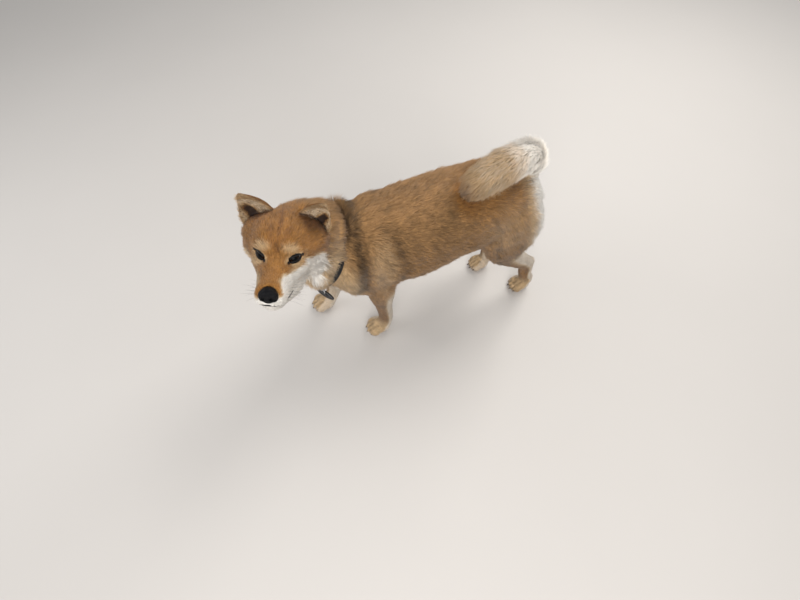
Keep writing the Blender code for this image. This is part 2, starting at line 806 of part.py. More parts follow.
def tail_nodes(torso, body, back_room, rng, dog, tools, forms, coats):
    """The stub of the tail and the brush that curls forward over the back."""
    half = JOINT_GAP / 2
    carve(torso, beyond("tail_room", *TAIL_PLANE, -half, tools, 0.06))
    root = node("tail_root", body, dog, coats["red"])
    carve(root, beyond("tail_part", *TAIL_PLANE, half, tools, 0.06), "INTERSECT")
    carve(root, beyond("brush_room", *BRUSH_PLANE, -half, tools, 0.15))
    core = [(x, y, z, wide * k, deep * k) for (x, y, z, wide, deep), k in zip(TAIL, TAIL_CORE)]
    brush = fused("tail_brush", [limb("tail_form", core, forms, count=36)], TAIL_VOXEL, 2, TAIL_TRIANGLES, dog)
    locks = collection("tail_locks", hidden=True)
    tail_locks(rng, locks)
    with_locks(brush, locks)
    brush.data.materials.clear()
    brush.data.materials.append(coats["red"])
    carve(brush, back_room, solver="MANIFOLD")
    carve(brush, beyond("brush_part", *BRUSH_PLANE, half, tools, 0.15), "INTERSECT", "MANIFOLD")
    largest_part(applied(brush))


def face_nodes(head, whole, dog, tools, forms, coats):
    """Nose, eyes and ears, and their places in the head."""
    nose = fused("nose", nose_forms(forms), NOSE_VOXEL, 2, NOSE_TRIANGLES, dog)
    nose.data.materials.append(coats["nose"])
    carve(head, swollen(nose, "nose_room", JOINT_GAP, tools))
    carve(nose, joined("nostril_pair", nostrils(tools), tools))
    trim = swollen(whole, "ear_trim", JOINT_GAP, tools)
    for side, name in ((1, "left"), (-1, "right")):
        ear = ear_form("ear_" + name, side, dog)
        ear.data.materials.append(coats["red"])
        carve(ear, trim)
        centre = in_head((side * EYE.x, EYE.y, EYE.z))
        eye = blob("eye_" + name, centre, (EYE_RADIUS,) * 3, dog)
        eye.data.materials.append(coats["eye"])
        carve(head, blob("socket_" + name, centre, (EYE_RADIUS + JOINT_GAP,) * 3, tools))
        carve(head, eye_opening("opening_" + name, side, tools))


def collar_nodes(neck, dog, tools, coats):
    """The collar in its slot in the coat, with a lug, a wire ring and an oval tag."""
    collar = ring_solid("collar", COLLAR_MIDDLE, COLLAR_FACING, COLLAR_HALF, COLLAR_BAND, COLLAR_THICK, dog)
    collar.data.materials.append(coats["strap"])
    slot_half = tuple(h - JOINT_GAP for h in COLLAR_HALF)
    slot_band = COLLAR_BAND + 2 * JOINT_GAP
    carve(neck, ring_solid("slot", COLLAR_MIDDLE, COLLAR_FACING, slot_half, slot_band, 0.030, tools))

    down = Vector((0, 0, -1))
    lowest = (down - COLLAR_FACING * down.dot(COLLAR_FACING)).normalized()
    left = COLLAR_FACING.cross(lowest)
    outward = lowest * math.cos(TAG_ANGLE) + left * math.sin(TAG_ANGLE)
    across = TAG_FACING.cross(down)
    lug_middle = COLLAR_MIDDLE + outward * (COLLAR_HALF[1] + COLLAR_THICK + LUG_RADIUS - 0.0012)
    carve(collar, wire("lug", lug_middle, outward.cross(COLLAR_FACING), LUG_RADIUS, WIRE, tools, 14), "UNION")
    ring_middle = lug_middle + down * RING_RADIUS
    ring_facing = across * math.cos(RING_TURN) + TAG_FACING * math.sin(RING_TURN)
    ring = wire("collar_ring", ring_middle, ring_facing, RING_RADIUS, WIRE, dog)
    ring.data.materials.append(coats["steel"])
    hole = ring_middle + down * RING_RADIUS
    tag_middle = hole + down * (TAG_HALF[1] - TAG_EDGE)
    tag = oval_plate("collar_tag", tag_middle, TAG_FACING, -down, TAG_HALF, TAG_THICK, dog)
    tag.data.materials.append(coats["tag"])
    carve(tag, oval_plate("tag_hole", hole, TAG_FACING, -down, (TAG_HOLE, TAG_HOLE), 0.01, tools, 14))


def centred(dog, tools):
    """Moves the whole dog so that the middle of its bounding box stands over the origin."""
    graph = bpy.context.evaluated_depsgraph_get()
    points = []
    for obj in dog.objects:
        mesh = obj.evaluated_get(graph).to_mesh()
        points += [v.co.copy() for v in mesh.vertices]
    shift = Vector()
    for axis in (0, 1):
        values = [p[axis] for p in points]
        shift[axis] = -(min(values) + max(values)) / 2
    for obj in list(dog.objects) + list(tools.objects):
        obj.data.transform(Matrix.Translation(shift))


def build():
    clear_scene()
    dog = collection("shiba_inu")
    forms = collection("forms", hidden=True)
    tools = collection("cutters", hidden=True)
    coats = {
        "red": material("red_coat", (0.50, 0.27, 0.11), 0.85),
        "cream": material("cream_coat", (0.68, 0.54, 0.40), 0.85),
        "nose": material("nose_leather", (0.012, 0.012, 0.014), 0.45),
        "eye": material("dark_eye", (0.010, 0.006, 0.004), 0.08),
        "strap": material("black_strap", (0.010, 0.009, 0.009), 0.60),
        "steel": material("ring_steel", (0.62, 0.62, 0.62), 0.25, 1.0),
        "tag": material("black_tag", (0.012, 0.014, 0.018), 0.35),
    }
    throat = neck_forms(forms)
    skull = moved_to_head(head_forms(forms))
    legs = [
        foreleg_forms(1, FORE_LEFT_Y, ELBOW_LEFT, forms),
        foreleg_forms(-1, FORE_RIGHT_Y, ELBOW_RIGHT, forms),
        hindleg_forms(1, HIND_LEFT_Y, STIFLE_LEFT, HOCK_LEFT, forms),
        hindleg_forms(-1, HIND_RIGHT_Y, STIFLE_RIGHT, HOCK_RIGHT, forms),
    ]
    flesh = trunk_forms(forms) + throat + skull + [form for leg in legs for form in leg]
    body = largest_part(fused("body", flesh, BODY_VOXEL, BODY_ROUNDS, BODY_TRIANGLES, forms))
    whole = largest_part(fused("head_whole", skull + throat, HEAD_VOXEL, HEAD_ROUNDS, HEAD_TRIANGLES, forms))

    head_point = in_head(HEAD_PLANE[1].normalized() * HEAD_PLANE[0])
    head_way = direction_in_head(HEAD_PLANE[1])
    neck_point = COLLAR_MIDDLE - COLLAR_FACING * NECK_BEHIND_COLLAR
    mouth, furrow = lip_line(whole, tools)
    back_room = swollen(body, "back_room", JOINT_GAP, tools)
    rng = np.random.default_rng(LOCK_SEED)
    head = part_at([(head_point, head_way)], whole, "head", dog, tools, coats["red"])
    carve(head, mouth)
    carve(head, furrow)
    planes = [(head_point, -head_way), (neck_point, -COLLAR_FACING)]
    neck = part_at(planes, body, "neck", dog, tools, coats["red"])
    torso = part_at([(neck_point, COLLAR_FACING)], body, "torso", dog, tools, coats["red"])
    specs = (
        ("foreleg_left", "forepaw_left", FORE_X, FORE_LEFT_Y, FORELEG_TOP, 1.0, (0.070, 0.100)),
        ("foreleg_right", "forepaw_right", FORE_X, FORE_RIGHT_Y, FORELEG_TOP, 1.0, (0.060, 0.150)),
        ("hindleg_left", "hindpaw_left", HIND_X, HIND_LEFT_Y, HINDLEG_TOP, 0.88, (0.140, 0.080)),
        ("hindleg_right", "hindpaw_right", HIND_X, HIND_RIGHT_Y, HINDLEG_TOP, 0.88, (0.100, 0.150)),
    )
    for side, spec, leg in zip((1, -1, 1, -1), specs, legs):
        leg_nodes(torso, body, side, spec, leg, dog, tools, forms, coats)
    tail_nodes(torso, body, back_room, rng, dog, tools, forms, coats)
    face_nodes(head, whole, dog, tools, forms, coats)
    collar_nodes(neck, dog, tools, coats)
    for form in list(forms.objects):
        bpy.data.objects.remove(form)
    bpy.data.collections.remove(forms)
    for obj in dog.objects:
        smooth_shaded(obj)
    centred(dog, tools)


build()
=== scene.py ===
"""The looks of a standing Shiba Inu: skin, coat, eyes, nose, claws, whiskers, collar and stage."""

import math

import bmesh
import bpy
import numpy as np
from bpy.props import FloatProperty, FloatVectorProperty, IntProperty, PointerProperty
from mathutils import Matrix, Vector
from mathutils.bvhtree import BVHTree


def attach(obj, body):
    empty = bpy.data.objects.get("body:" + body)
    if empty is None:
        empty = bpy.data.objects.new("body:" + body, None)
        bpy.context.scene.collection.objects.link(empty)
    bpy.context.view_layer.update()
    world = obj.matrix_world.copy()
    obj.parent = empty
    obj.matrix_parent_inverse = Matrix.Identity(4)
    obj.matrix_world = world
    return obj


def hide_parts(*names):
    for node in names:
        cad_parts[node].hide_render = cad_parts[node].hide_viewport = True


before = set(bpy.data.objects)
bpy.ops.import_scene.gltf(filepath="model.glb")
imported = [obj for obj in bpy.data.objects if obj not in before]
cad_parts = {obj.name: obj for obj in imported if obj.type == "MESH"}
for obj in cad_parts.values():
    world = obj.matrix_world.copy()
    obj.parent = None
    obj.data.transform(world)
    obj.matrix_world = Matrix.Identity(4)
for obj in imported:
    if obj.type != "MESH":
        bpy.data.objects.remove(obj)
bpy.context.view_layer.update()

bl_info = {
    "name": "Shiba Inu looks",
    "version": (1, 0, 0),
    "blender": (4, 5, 0),
    "location": "View3D > Sidebar > Dog",
    "description": "Dresses the solids of a standing Shiba Inu with skin, coat and fittings",
    "category": "Object",
}

BODY = "root"
FLESH = (
    "head", "neck", "torso", "tail_root", "tail_brush", "foreleg_left", "foreleg_right",
    "hindleg_left", "hindleg_right", "forepaw_left", "forepaw_right", "hindpaw_left", "hindpaw_right",
)
SIDES = ((1, "left"), (-1, "right"))

# From the middle of the four feet, where the places below are measured, to the frame's origin
STAND = np.array([-0.03546, 0.02994, 0.0])

# The head's own frame: x to its left, -y along the muzzle, z up
HEAD = (
    Matrix.Translation(Vector((0.043, -0.247, 0.362)) + Vector(STAND))
    @ Matrix.Rotation(math.radians(76.0), 4, "Z")
    @ Matrix.Rotation(math.radians(-28.0), 4, "X")
    @ Matrix.Rotation(math.radians(10.5), 4, "Y")
)
EYE = (0.0195, -0.0405, 0.0030)
EYE_RADIUS = 0.0118
EYE_GAZE = (0.55, -0.83, 0.06)
EYE_SLANT = math.radians(22.0)
EYE_OPENING = (0.0132, 0.0054)
PUPIL_GAZE = (0.40, -0.90, 0.02)
NOSE = (0.0, -0.1085, -0.0255)
EAR_BASE = (0.0400, 0.0090, 0.0330)
EAR_TIP = (0.0590, -0.0160, 0.0745)
EAR_ACROSS = (0.75, 0.18, -0.64)
EAR_HALF_WIDTH = 0.0265

# Feet: x, y of the middle of the foot, and size
FEET = (
    (0.0485, -0.1290, 1.0), (-0.0485, -0.2360, 1.0), (0.0420, 0.2210, 0.88), (-0.0420, 0.1520, 0.88),
)
TOES = ((-0.0148, 0.009), (-0.0053, 0.016), (0.0053, 0.016), (0.0148, 0.009))

# Centre line of the tail and its radius to the tips of the hair: x, y, z, radius
TAIL = (
    (0.000, 0.152, 0.330, 0.021), (-0.001, 0.172, 0.356, 0.024), (0.006, 0.166, 0.381, 0.027),
    (0.019, 0.134, 0.391, 0.030), (0.028, 0.095, 0.386, 0.030), (0.035, 0.062, 0.378, 0.023),
    (0.038, 0.046, 0.374, 0.009),
)

COLLAR_MIDDLE = Vector((0.006, -0.192, 0.283)) + Vector(STAND)
COLLAR_FACING = Vector((0.10, -0.86, 0.50)).normalized()
COLLAR_HALF = (0.0650, 0.0690)
COLLAR_THICK = 0.0026
LUG_RADIUS = 0.0040
RING_RADIUS = 0.0062
WIRE = 0.0008
TAG_HALF = (0.0190, 0.0125)
TAG_HOLE = 0.0027

# What one operator leaves for those after it: the skin, the lie of the coat, the lips and the tag's place
made = {}


class DogSettings(bpy.types.PropertyGroup):
    """Sizes and colours that a user would change"""

    tan: FloatVectorProperty(
        name="Tan", description="Colour of the coat on the body", subtype="COLOR", size=3,
        default=(0.395, 0.216, 0.083), min=0, max=1,
    )
    cream: FloatVectorProperty(
        name="Cream", description="Colour between the tan and the pale hair", subtype="COLOR", size=3,
        default=(0.600, 0.420, 0.235), min=0, max=1,
    )
    pale: FloatVectorProperty(
        name="Pale", description="Colour of the cheeks and the bend of the tail", subtype="COLOR", size=3,
        default=(0.830, 0.790, 0.730), min=0, max=1,
    )
    gold: FloatVectorProperty(
        name="Gold", description="Colour of the forehead", subtype="COLOR", size=3,
        default=(0.385, 0.172, 0.038), min=0, max=1,
    )
    rust: FloatVectorProperty(
        name="Rust", description="Colour of the reddest hair", subtype="COLOR", size=3,
        default=(0.200, 0.080, 0.024), min=0, max=1,
    )
    dusk: FloatVectorProperty(
        name="Dark tips", description="Colour of the dark tips of the hair", subtype="COLOR", size=3,
        default=(0.090, 0.045, 0.024), min=0, max=1,
    )
    skin_voxel: FloatProperty(
        name="Skin grain", description="Size of the faces of the skin", default=0.0028, min=0.001,
        unit="LENGTH", precision=4,
    )
    thickness: FloatProperty(
        name="Coat density", description="Share of the full number of tufts", default=1.0,
        min=0.05, max=1.2,
    )
    whisker_length: FloatProperty(
        name="Whisker length", description="Longest whisker", default=0.034, min=0.0, unit="LENGTH",
    )
    band: FloatProperty(
        name="Collar height", description="Height of the collar's band", default=0.0098, unit="LENGTH",
    )
    stitches: IntProperty(name="Stitches", description="Stitches in each row", default=120, min=8)
    floor: FloatVectorProperty(
        name="Floor", description="Colour of the floor", subtype="COLOR", size=3,
        default=(0.56, 0.53, 0.50), min=0, max=1,
    )


def settings():
    """The sizes and colours of the sidebar."""
    return bpy.context.scene.dog_settings


def stood(points):
    """Points measured from the middle of the feet, in the frame."""
    return np.asarray(points, float) + STAND


def in_head(points):
    """Points of the head's frame, in the frame."""
    turn = np.array(HEAD)
    return np.asarray(points, float) @ turn[:3, :3].T + turn[:3, 3]


def to_head(points):
    """Points of the frame, in the head's frame."""
    back = np.array(HEAD.inverted())
    return np.asarray(points, float) @ back[:3, :3].T + back[:3, 3]


def head_way(way):
    """A way of the head's frame, in the frame."""
    return np.asarray(way, float) @ np.array(HEAD)[:3, :3].T


def on_side(place, side):
    """A place or way given for the left side, for the left (1) or the right (-1)."""
    return np.array((side * place[0], place[1], place[2]))


def folded(places):
    """Places with the right side laid over the left."""
    return np.c_[np.abs(places[:, 0]), places[:, 1:]]


def unit(v):
    """Ways brought to a length of one."""
    v = np.asarray(v, float)
    return v / np.maximum(np.linalg.norm(v, axis=-1, keepdims=True), 1e-12)


def ease(low, high, x):
    """0 at low and 1 at high with a smooth step between; high may be the lesser."""
    t = np.clip((x - low) / (high - low), 0, 1)
    return t * t * (3 - 2 * t)


def ripple(points, size, seed):
    """Smooth seeded noise between -1 and 1, from sums of waves about size long."""
    rng = np.random.default_rng(seed)
    total = np.zeros(len(points))
    for _ in range(7):
        way = unit(rng.normal(size=3)) * 2 * math.pi / size * rng.uniform(0.6, 1.6)
        total += np.sin(points @ way + rng.uniform(0, 2 * math.pi))
    return total / 3.2


def link(obj):
    """Puts an object in the scene."""
    bpy.context.scene.collection.objects.link(obj)
    return obj


def mesh_object(name, points, faces, smooth=True):
    """An object from arrays of points and of faces with equal numbers of corners."""
    faces = np.asarray(faces, np.int32)
    mesh = bpy.data.meshes.new(name)
    mesh.vertices.add(len(points))
    mesh.vertices.foreach_set("co", np.asarray(points, np.float32).ravel())
    mesh.loops.add(faces.size)
    mesh.loops.foreach_set("vertex_index", faces.ravel())
    mesh.polygons.add(len(faces))
    mesh.polygons.foreach_set("loop_start", np.arange(len(faces), dtype=np.int32) * faces.shape[1])
    mesh.update(calc_edges=True)
    if smooth:
        mesh.shade_smooth()
    return link(bpy.data.objects.new(name, mesh))


def from_bmesh(name, mesh):
    """A smooth object from a bmesh, which is freed."""
    data = bpy.data.meshes.new(name)
    mesh.to_mesh(data)
    mesh.free()
    data.shade_smooth()
    return link(bpy.data.objects.new(name, data))


def merged_copy(node):
    """A copy of a CAD node's mesh with its doubled points merged."""
    mesh = bmesh.new()
    mesh.from_mesh(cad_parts[node].data)
    bmesh.ops.remove_doubles(mesh, verts=mesh.verts, dist=0.00002)
    return mesh


def pour(whole, part):
    """Adds a part to a whole and frees the part."""
    data = bpy.data.meshes.new("part")
    part.to_mesh(data)
    part.free()
    whole.from_mesh(data)
    bpy.data.meshes.remove(data)


def join_rings(mesh, rings, caps=()):
    """Quads between rings of points, with the given end faces or, without any, closed in a loop."""
    count = len(rings[0])
    for one, two in zip(rings, rings[1:] + ([] if caps else rings[:1])):
        for i in range(count):
            j = (i + 1) % count
            mesh.faces.new((one[i], one[j], two[j], two[i]))
    for cap in caps:
        mesh.faces.new(cap)
    bmesh.ops.recalc_face_normals(mesh, faces=mesh.faces)
    return mesh


def evaluated(obj):
    """Turns an object's modifiers into plain mesh."""
    graph = bpy.context.evaluated_depsgraph_get()
    data = bpy.data.meshes.new_from_object(obj.evaluated_get(graph))
    obj.modifiers.clear()
    obj.data = data
    return obj


def remeshed(obj, voxel, rounds):
    """Turns an object into even faces of the voxel's size, smoothed some rounds."""
    remesh = obj.modifiers.new("Remesh", "REMESH")
    remesh.mode = "VOXEL"
    remesh.voxel_size = voxel
    smooth = obj.modifiers.new("Smooth", "SMOOTH")
    smooth.iterations = rounds
    return evaluated(obj)


def point_values(mesh, name, values):
    """Stores a number or a vector for each point of a mesh."""
    kind, field_name = ("FLOAT", "value") if values.ndim == 1 else ("FLOAT_VECTOR", "vector")
    stored = mesh.attributes.new(name, kind, "POINT")
    stored.data.foreach_set(field_name, values.astype(np.float32).ravel())


def finish_piece(obj, own, slot_name, *nodes):
    """Gives a piece its material and body, and hides the nodes it replaces."""
    obj.data.materials.clear()
    obj.data.materials.append(own)
    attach(obj, BODY)
    if nodes:
        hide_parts(*nodes)


def need(condition, words):
    """Stops the operator with a message when a condition fails."""
    if not condition:
        raise RuntimeError(words)


# Shader node groups


def group(name, inputs, outputs):
    """An empty shader node group with named sockets, and its input and output nodes."""
    tree = bpy.data.node_groups.new(name, "ShaderNodeTree")
    for kind, label, value in inputs:
        socket = tree.interface.new_socket(label, in_out="INPUT", socket_type=kind)
        if value is not None:
            socket.default_value = value
    for kind, label in outputs:
        tree.interface.new_socket(label, in_out="OUTPUT", socket_type=kind)
    return tree, tree.nodes.new("NodeGroupInput"), tree.nodes.new("NodeGroupOutput")


def calc(tree, operation, a, b=None, c=None, clamp=False):
    """The result of a math node on sockets or numbers."""
    node = tree.nodes.new("ShaderNodeMath")
    node.operation = operation
    node.use_clamp = clamp
    for socket, value in zip(node.inputs, (a, b, c)):
        if value is None:
            continue
        if isinstance(value, (int, float)):
            socket.default_value = value
        else:
            tree.links.new(value, socket)
    return node.outputs[0]


def mixed(tree, factor, one, two, blend="MIX"):
    """The colour of a mix node on sockets, numbers or colours."""
    node = tree.nodes.new("ShaderNodeMix")
    node.data_type = "RGBA"
    node.blend_type = blend
    for socket, value in ((node.inputs[0], factor), (node.inputs[6], one), (node.inputs[7], two)):
        if isinstance(value, (int, float)):
            socket.default_value = value
        elif isinstance(value, tuple):
            socket.default_value = (*value[:3], 1.0)
        else:
            tree.links.new(value, socket)
    return node.outputs[2]


def toned(tree, colour, value):
    """A colour multiplied by a value."""
    grey = tree.nodes.new("ShaderNodeCombineColor")
    for socket in grey.inputs:
        tree.links.new(value, socket)
    return mixed(tree, 1.0, colour, grey.outputs[0], "MULTIPLY")


def attribute(tree, name):
    """A node that reads what a mesh stores for each point."""
    node = tree.nodes.new("ShaderNodeAttribute")
    node.attribute_name = name
    return node


def noise(tree, vector, scale, detail=3.0):
    """Noise at a vector, between 0 and 1."""
    node = tree.nodes.new("ShaderNodeTexNoise")
    node.inputs["Scale"].default_value = scale
    node.inputs["Detail"].default_value = detail
    node.inputs["Roughness"].default_value = 0.55
    tree.links.new(vector, node.inputs["Vector"])
    return node.outputs["Fac"]


def object_place(tree):
    """The object coordinates."""
    return tree.nodes.new("ShaderNodeTexCoord").outputs["Object"]


COAT_COLOURS = ("tan", "cream", "pale", "gold", "rust", "dusk")


def stepped(tree, mask, base, middle, full):
    """Base where a mask is 0, middle where it is a half and full where it is 1."""
    base = mixed(tree, calc(tree, "MULTIPLY", mask, 2.0, clamp=True), base, middle)
    return mixed(tree, calc(tree, "MULTIPLY_ADD", mask, 2.0, -1.0, clamp=True), base, full)


def markings_and_painted_shade_group():
    """The coat's colour from its masks: pale, rust and dark tips, over tan, with painted shade that darkens
    each hair toward its root.
    """
    tree, read, write = group(
        "coat markings and painted shade",
        [*(("NodeSocketColor", name.capitalize(), None) for name in COAT_COLOURS),
         ("NodeSocketFloat", "Root shade", 0.62), ("NodeSocketFloat", "Unevenness", 1.05),
         ("NodeSocketVector", "Place", None)],
        [("NodeSocketColor", "Color")],
    )
    tan, cream, white, gold, red, dusk = (read.outputs[name.capitalize()] for name in COAT_COLOURS)
    root_shade = read.outputs["Root shade"]
    split = tree.nodes.new("ShaderNodeSeparateXYZ")
    tree.links.new(attribute(tree, "masks").outputs["Vector"], split.inputs[0])
    pale, rust, dark = split.outputs
    along = attribute(tree, "along").outputs["Fac"]
    shade = attribute(tree, "shade").outputs["Fac"]
    uneven = calc(tree, "MULTIPLY_ADD", noise(tree, read.outputs["Place"], 70.0), 0.5, -0.25)
    base = stepped(tree, calc(tree, "MULTIPLY_ADD", uneven, 0.4, rust), tan, gold, red)
    base = stepped(tree, calc(tree, "MULTIPLY_ADD", uneven, 0.25, pale), base, cream, white)
    tips = calc(tree, "SMOOTH_MIN", calc(tree, "POWER", along, 2.2), 1.0, 0.1)
    tips = calc(tree, "MULTIPLY", tips, calc(tree, "MULTIPLY_ADD", shade, 1.4, -0.1, clamp=True))
    base = mixed(tree, calc(tree, "MULTIPLY", tips, dark, clamp=True), base, dusk)
    # The shade attribute lightens or darkens the colour: random tone of tufts and clumps, with painted shade
    # in folds and on the legs and painted light on the white hair and the tail's curl.
    calm = calc(tree, "MULTIPLY_ADD", pale, -0.55, 1.0)
    much = calc(tree, "MULTIPLY", read.outputs["Unevenness"], calm)
    light = calc(tree, "MULTIPLY_ADD", shade, much, calc(tree, "MULTIPLY_ADD", much, -0.5, 1.0))
    # Painted shade: the colour darkens toward the roots of the hair and on the skin under it, standing in for
    # the shade deep in the coat; pale hair is darkened less.
    rise = calc(tree, "SUBTRACT", 1.0, root_shade)
    depth = calc(tree, "MULTIPLY_ADD", calc(tree, "POWER", along, 0.7), rise, root_shade)
    lifted = calc(tree, "MULTIPLY", pale, 0.6)
    depth = calc(tree, "MULTIPLY_ADD", calc(tree, "SUBTRACT", 1.0, depth), lifted, depth)
    tree.links.new(toned(tree, base, calc(tree, "MULTIPLY", light, depth)), write.inputs["Color"])
    return tree


def grain_group():
    """A height from fine noise, for leather, horn and skin."""
    tree, read, write = group(
        "fine grain",
        [("NodeSocketVector", "Place", None), ("NodeSocketFloat", "Scale", 800.0),
         ("NodeSocketFloat", "Cells", 0.5)],
        [("NodeSocketFloat", "Height")],
    )
    cells = tree.nodes.new("ShaderNodeTexVoronoi")
    cells.feature = "DISTANCE_TO_EDGE"
    tree.links.new(read.outputs["Place"], cells.inputs["Vector"])
    tree.links.new(read.outputs["Scale"], cells.inputs["Scale"])
    edge = calc(tree, "MULTIPLY", calc(tree, "SMOOTH_MIN", cells.outputs["Distance"], 0.25, 0.2), 4.0)
    fine = tree.nodes.new("ShaderNodeTexNoise")
    tree.links.new(read.outputs["Place"], fine.inputs["Vector"])
    tree.links.new(calc(tree, "MULTIPLY", read.outputs["Scale"], 3.0), fine.inputs["Scale"])
    blend = tree.nodes.new("ShaderNodeMix")
    tree.links.new(read.outputs["Cells"], blend.inputs[0])
    tree.links.new(fine.outputs["Fac"], blend.inputs[2])
    tree.links.new(edge, blend.inputs[3])
    tree.links.new(blend.outputs[0], write.inputs["Height"])
    return tree


def wear_group():
    """A mask of scuffs and rubbed spots."""
    tree, read, write = group(
        "rubbed spots",
        [("NodeSocketVector", "Place", None), ("NodeSocketFloat", "Scale", 300.0),
         ("NodeSocketFloat", "Amount", 0.5)],
        [("NodeSocketFloat", "Mask")],
    )
    spots = tree.nodes.new("ShaderNodeTexNoise")
    spots.inputs["Detail"].default_value = 6.0
    spots.inputs["Roughness"].default_value = 0.7
    tree.links.new(read.outputs["Place"], spots.inputs["Vector"])
    tree.links.new(read.outputs["Scale"], spots.inputs["Scale"])
    mask = calc(tree, "MULTIPLY_ADD", spots.outputs["Fac"], 6.0, -3.3, clamp=True)
    tree.links.new(calc(tree, "MULTIPLY", mask, read.outputs["Amount"]), write.inputs["Mask"])
    return tree


def shared(name, make):
    """A node group that is made once."""
    return bpy.data.node_groups.get(name) or make()


def material(name, roughness, specular, colour=(0.5, 0.5, 0.5)):
    """A material and its shader, with the constants set on the shader's own sockets."""
    own = bpy.data.materials.new(name)
    own.use_nodes = True
    shader = own.node_tree.nodes["Principled BSDF"]
    shader.inputs["Base Color"].default_value = (*colour, 1)
    shader.inputs["Roughness"].default_value = roughness
    shader.inputs["Specular IOR Level"].default_value = specular
    return own, own.node_tree, shader


def placed(tree, shared_tree, **values):
    """A shared group in a material, read at the object coordinates."""
    node = tree.nodes.new("ShaderNodeGroup")
    node.node_tree = shared_tree
    tree.links.new(object_place(tree), node.inputs["Place"])
    for label, value in values.items():
        node.inputs[label.replace("_", " ")].default_value = value
    return node


def bumped(tree, shader, height, strength, distance):
    """Links a bump of a height to the shader."""
    bump = tree.nodes.new("ShaderNodeBump")
    bump.inputs["Strength"].default_value = strength
    bump.inputs["Distance"].default_value = distance
    tree.links.new(height, bump.inputs["Height"])
    tree.links.new(bump.outputs["Normal"], shader.inputs["Normal"])


def grained(tree, shader, scale, cells, strength, distance):
    """Links a bump of fine grain to the shader."""
    grain = placed(tree, shared("fine grain", grain_group), Scale=scale, Cells=cells)
    bumped(tree, shader, grain.outputs["Height"], strength, distance)


def rubbed(tree, scale, amount):
    """The mask of rubbed spots."""
    return placed(tree, shared("rubbed spots", wear_group), Scale=scale, Amount=amount).outputs["Mask"]


def tinted(tree, shader, factor, one, two):
    """Links a mix of two colours to the shader."""
    tree.links.new(mixed(tree, factor, one, two), shader.inputs["Base Color"])


def coat_material(name, root_shade, roughness):
    """Hair or the skin under it, both coloured by the same markings and painted shade."""
    own, tree, shader = material(name, roughness, 0.22)
    colours = {label.capitalize(): (*getattr(settings(), label), 1) for label in COAT_COLOURS}
    marks = placed(tree, shared("coat markings and painted shade", markings_and_painted_shade_group), Root_shade=root_shade, **colours)
    tree.links.new(marks.outputs["Color"], shader.inputs["Base Color"])
    shader.inputs["Sheen Weight"].default_value = 0.12
    shader.inputs["Sheen Roughness"].default_value = 0.5
    if "skin" in name:
        grained(tree, shader, 500.0, 0.2, 0.5, 0.001)
    return own


# The lie of the coat


# Stretches of the coat: start, end, reach, way the hair lies, its length, lift, width and depth
HEAD_LIE = (
    ((0, -0.106, -0.020), (0, -0.062, -0.006), 0.013, (0, 1, 0.3), 0.0042, 0.22, 0.0005, 0.0008),
    ((0, -0.050, 0.004), (0, -0.035, 0.026), 0.014, (0, 0.7, 0.8), 0.0062, 0.24, 0.0006, 0.0012),
    ((0, -0.100, -0.050), (0, -0.050, -0.064), 0.014, (0, 1, -0.1), 0.0070, 0.25, 0.0006, 0.0014),
    ((0, -0.020, 0.040), (0, 0.030, 0.050), 0.024, (0, 1, 0.1), 0.0110, 0.26, 0.0008, 0.0028),
    ((0, -0.020, -0.076), (0, 0.030, -0.072), 0.020, (0, 0.8, -0.6), 0.0150, 0.30, 0.0010, 0.0045),
)
HEAD_SIDE_LIE = (
    ((0.013, -0.108, -0.038), (0.020, -0.070, -0.034), 0.013,
     (0.3, 1, -0.25), 0.0050, 0.24, 0.0005, 0.0009),
    ((0.020, -0.066, -0.020), (0.028, -0.046, -0.022), 0.012, (0.5, 1, -0.2), 0.0070, 0.26, 0.0006, 0.0014),
    ((0.024, -0.050, 0.014), (0.040, -0.024, 0.016), 0.012,
     (0.55, 0.9, 0.35), 0.0066, 0.25, 0.0006, 0.0012),
    ((0.044, -0.024, -0.014), (0.052, -0.006, -0.010), 0.018,
     (0.4, 1, -0.25), 0.0115, 0.30, 0.0008, 0.0028),
    ((0.036, -0.034, -0.044), (0.050, -0.008, -0.050), 0.018,
     (0.4, 0.9, -0.55), 0.0130, 0.32, 0.0009, 0.0034),
    ((0.060, 0.018, -0.026), (0.058, 0.044, -0.030), 0.022, (0.4, 0.8, -0.5), 0.0200, 0.34, 0.0011, 0.0062),
    ((0.042, 0.000, 0.036), (0.048, 0.024, 0.030), 0.014, (0.2, 1, 0.0), 0.0100, 0.28, 0.0008, 0.0024),
)
BODY_LIE = (
    ((0.022, -0.205, 0.402), (0.002, -0.140, 0.362), 0.030,
     (-0.25, 0.95, -0.3), 0.0190, 0.36, 0.0009, 0.0070),
    ((0.062, -0.180, 0.345), (0.076, -0.150, 0.300), 0.028,
     (0.1, 0.75, -0.6), 0.0190, 0.38, 0.0009, 0.0074),
    ((-0.045, -0.215, 0.360), (-0.074, -0.160, 0.310), 0.028,
     (-0.15, 0.75, -0.6), 0.0190, 0.38, 0.0009, 0.0074),
    ((0.016, -0.256, 0.300), (0.004, -0.232, 0.240), 0.028,
     (0.0, 0.15, -1.0), 0.0190, 0.36, 0.0009, 0.0068),
    ((0.060, -0.215, 0.260), (0.050, -0.195, 0.220), 0.024, (0.2, 0.3, -0.9), 0.0180, 0.34, 0.0009, 0.0062),
    ((0.000, -0.222, 0.215), (0.000, -0.180, 0.175), 0.024,
     (0.0, 0.55, -0.8), 0.0160, 0.32, 0.0009, 0.0052),
    ((0.000, -0.120, 0.366), (0.000, 0.140, 0.366), 0.040, (0.0, 1.0, 0.0), 0.0150, 0.38, 0.0008, 0.0056),
    ((0.000, 0.185, 0.345), (0.000, 0.215, 0.290), 0.026, (0.0, 0.45, -0.9), 0.0170, 0.36, 0.0009, 0.0058),
    ((0.000, -0.120, 0.160), (0.000, 0.100, 0.200), 0.030, (0.0, 1.0, -0.1), 0.0130, 0.30, 0.0008, 0.0040),
)
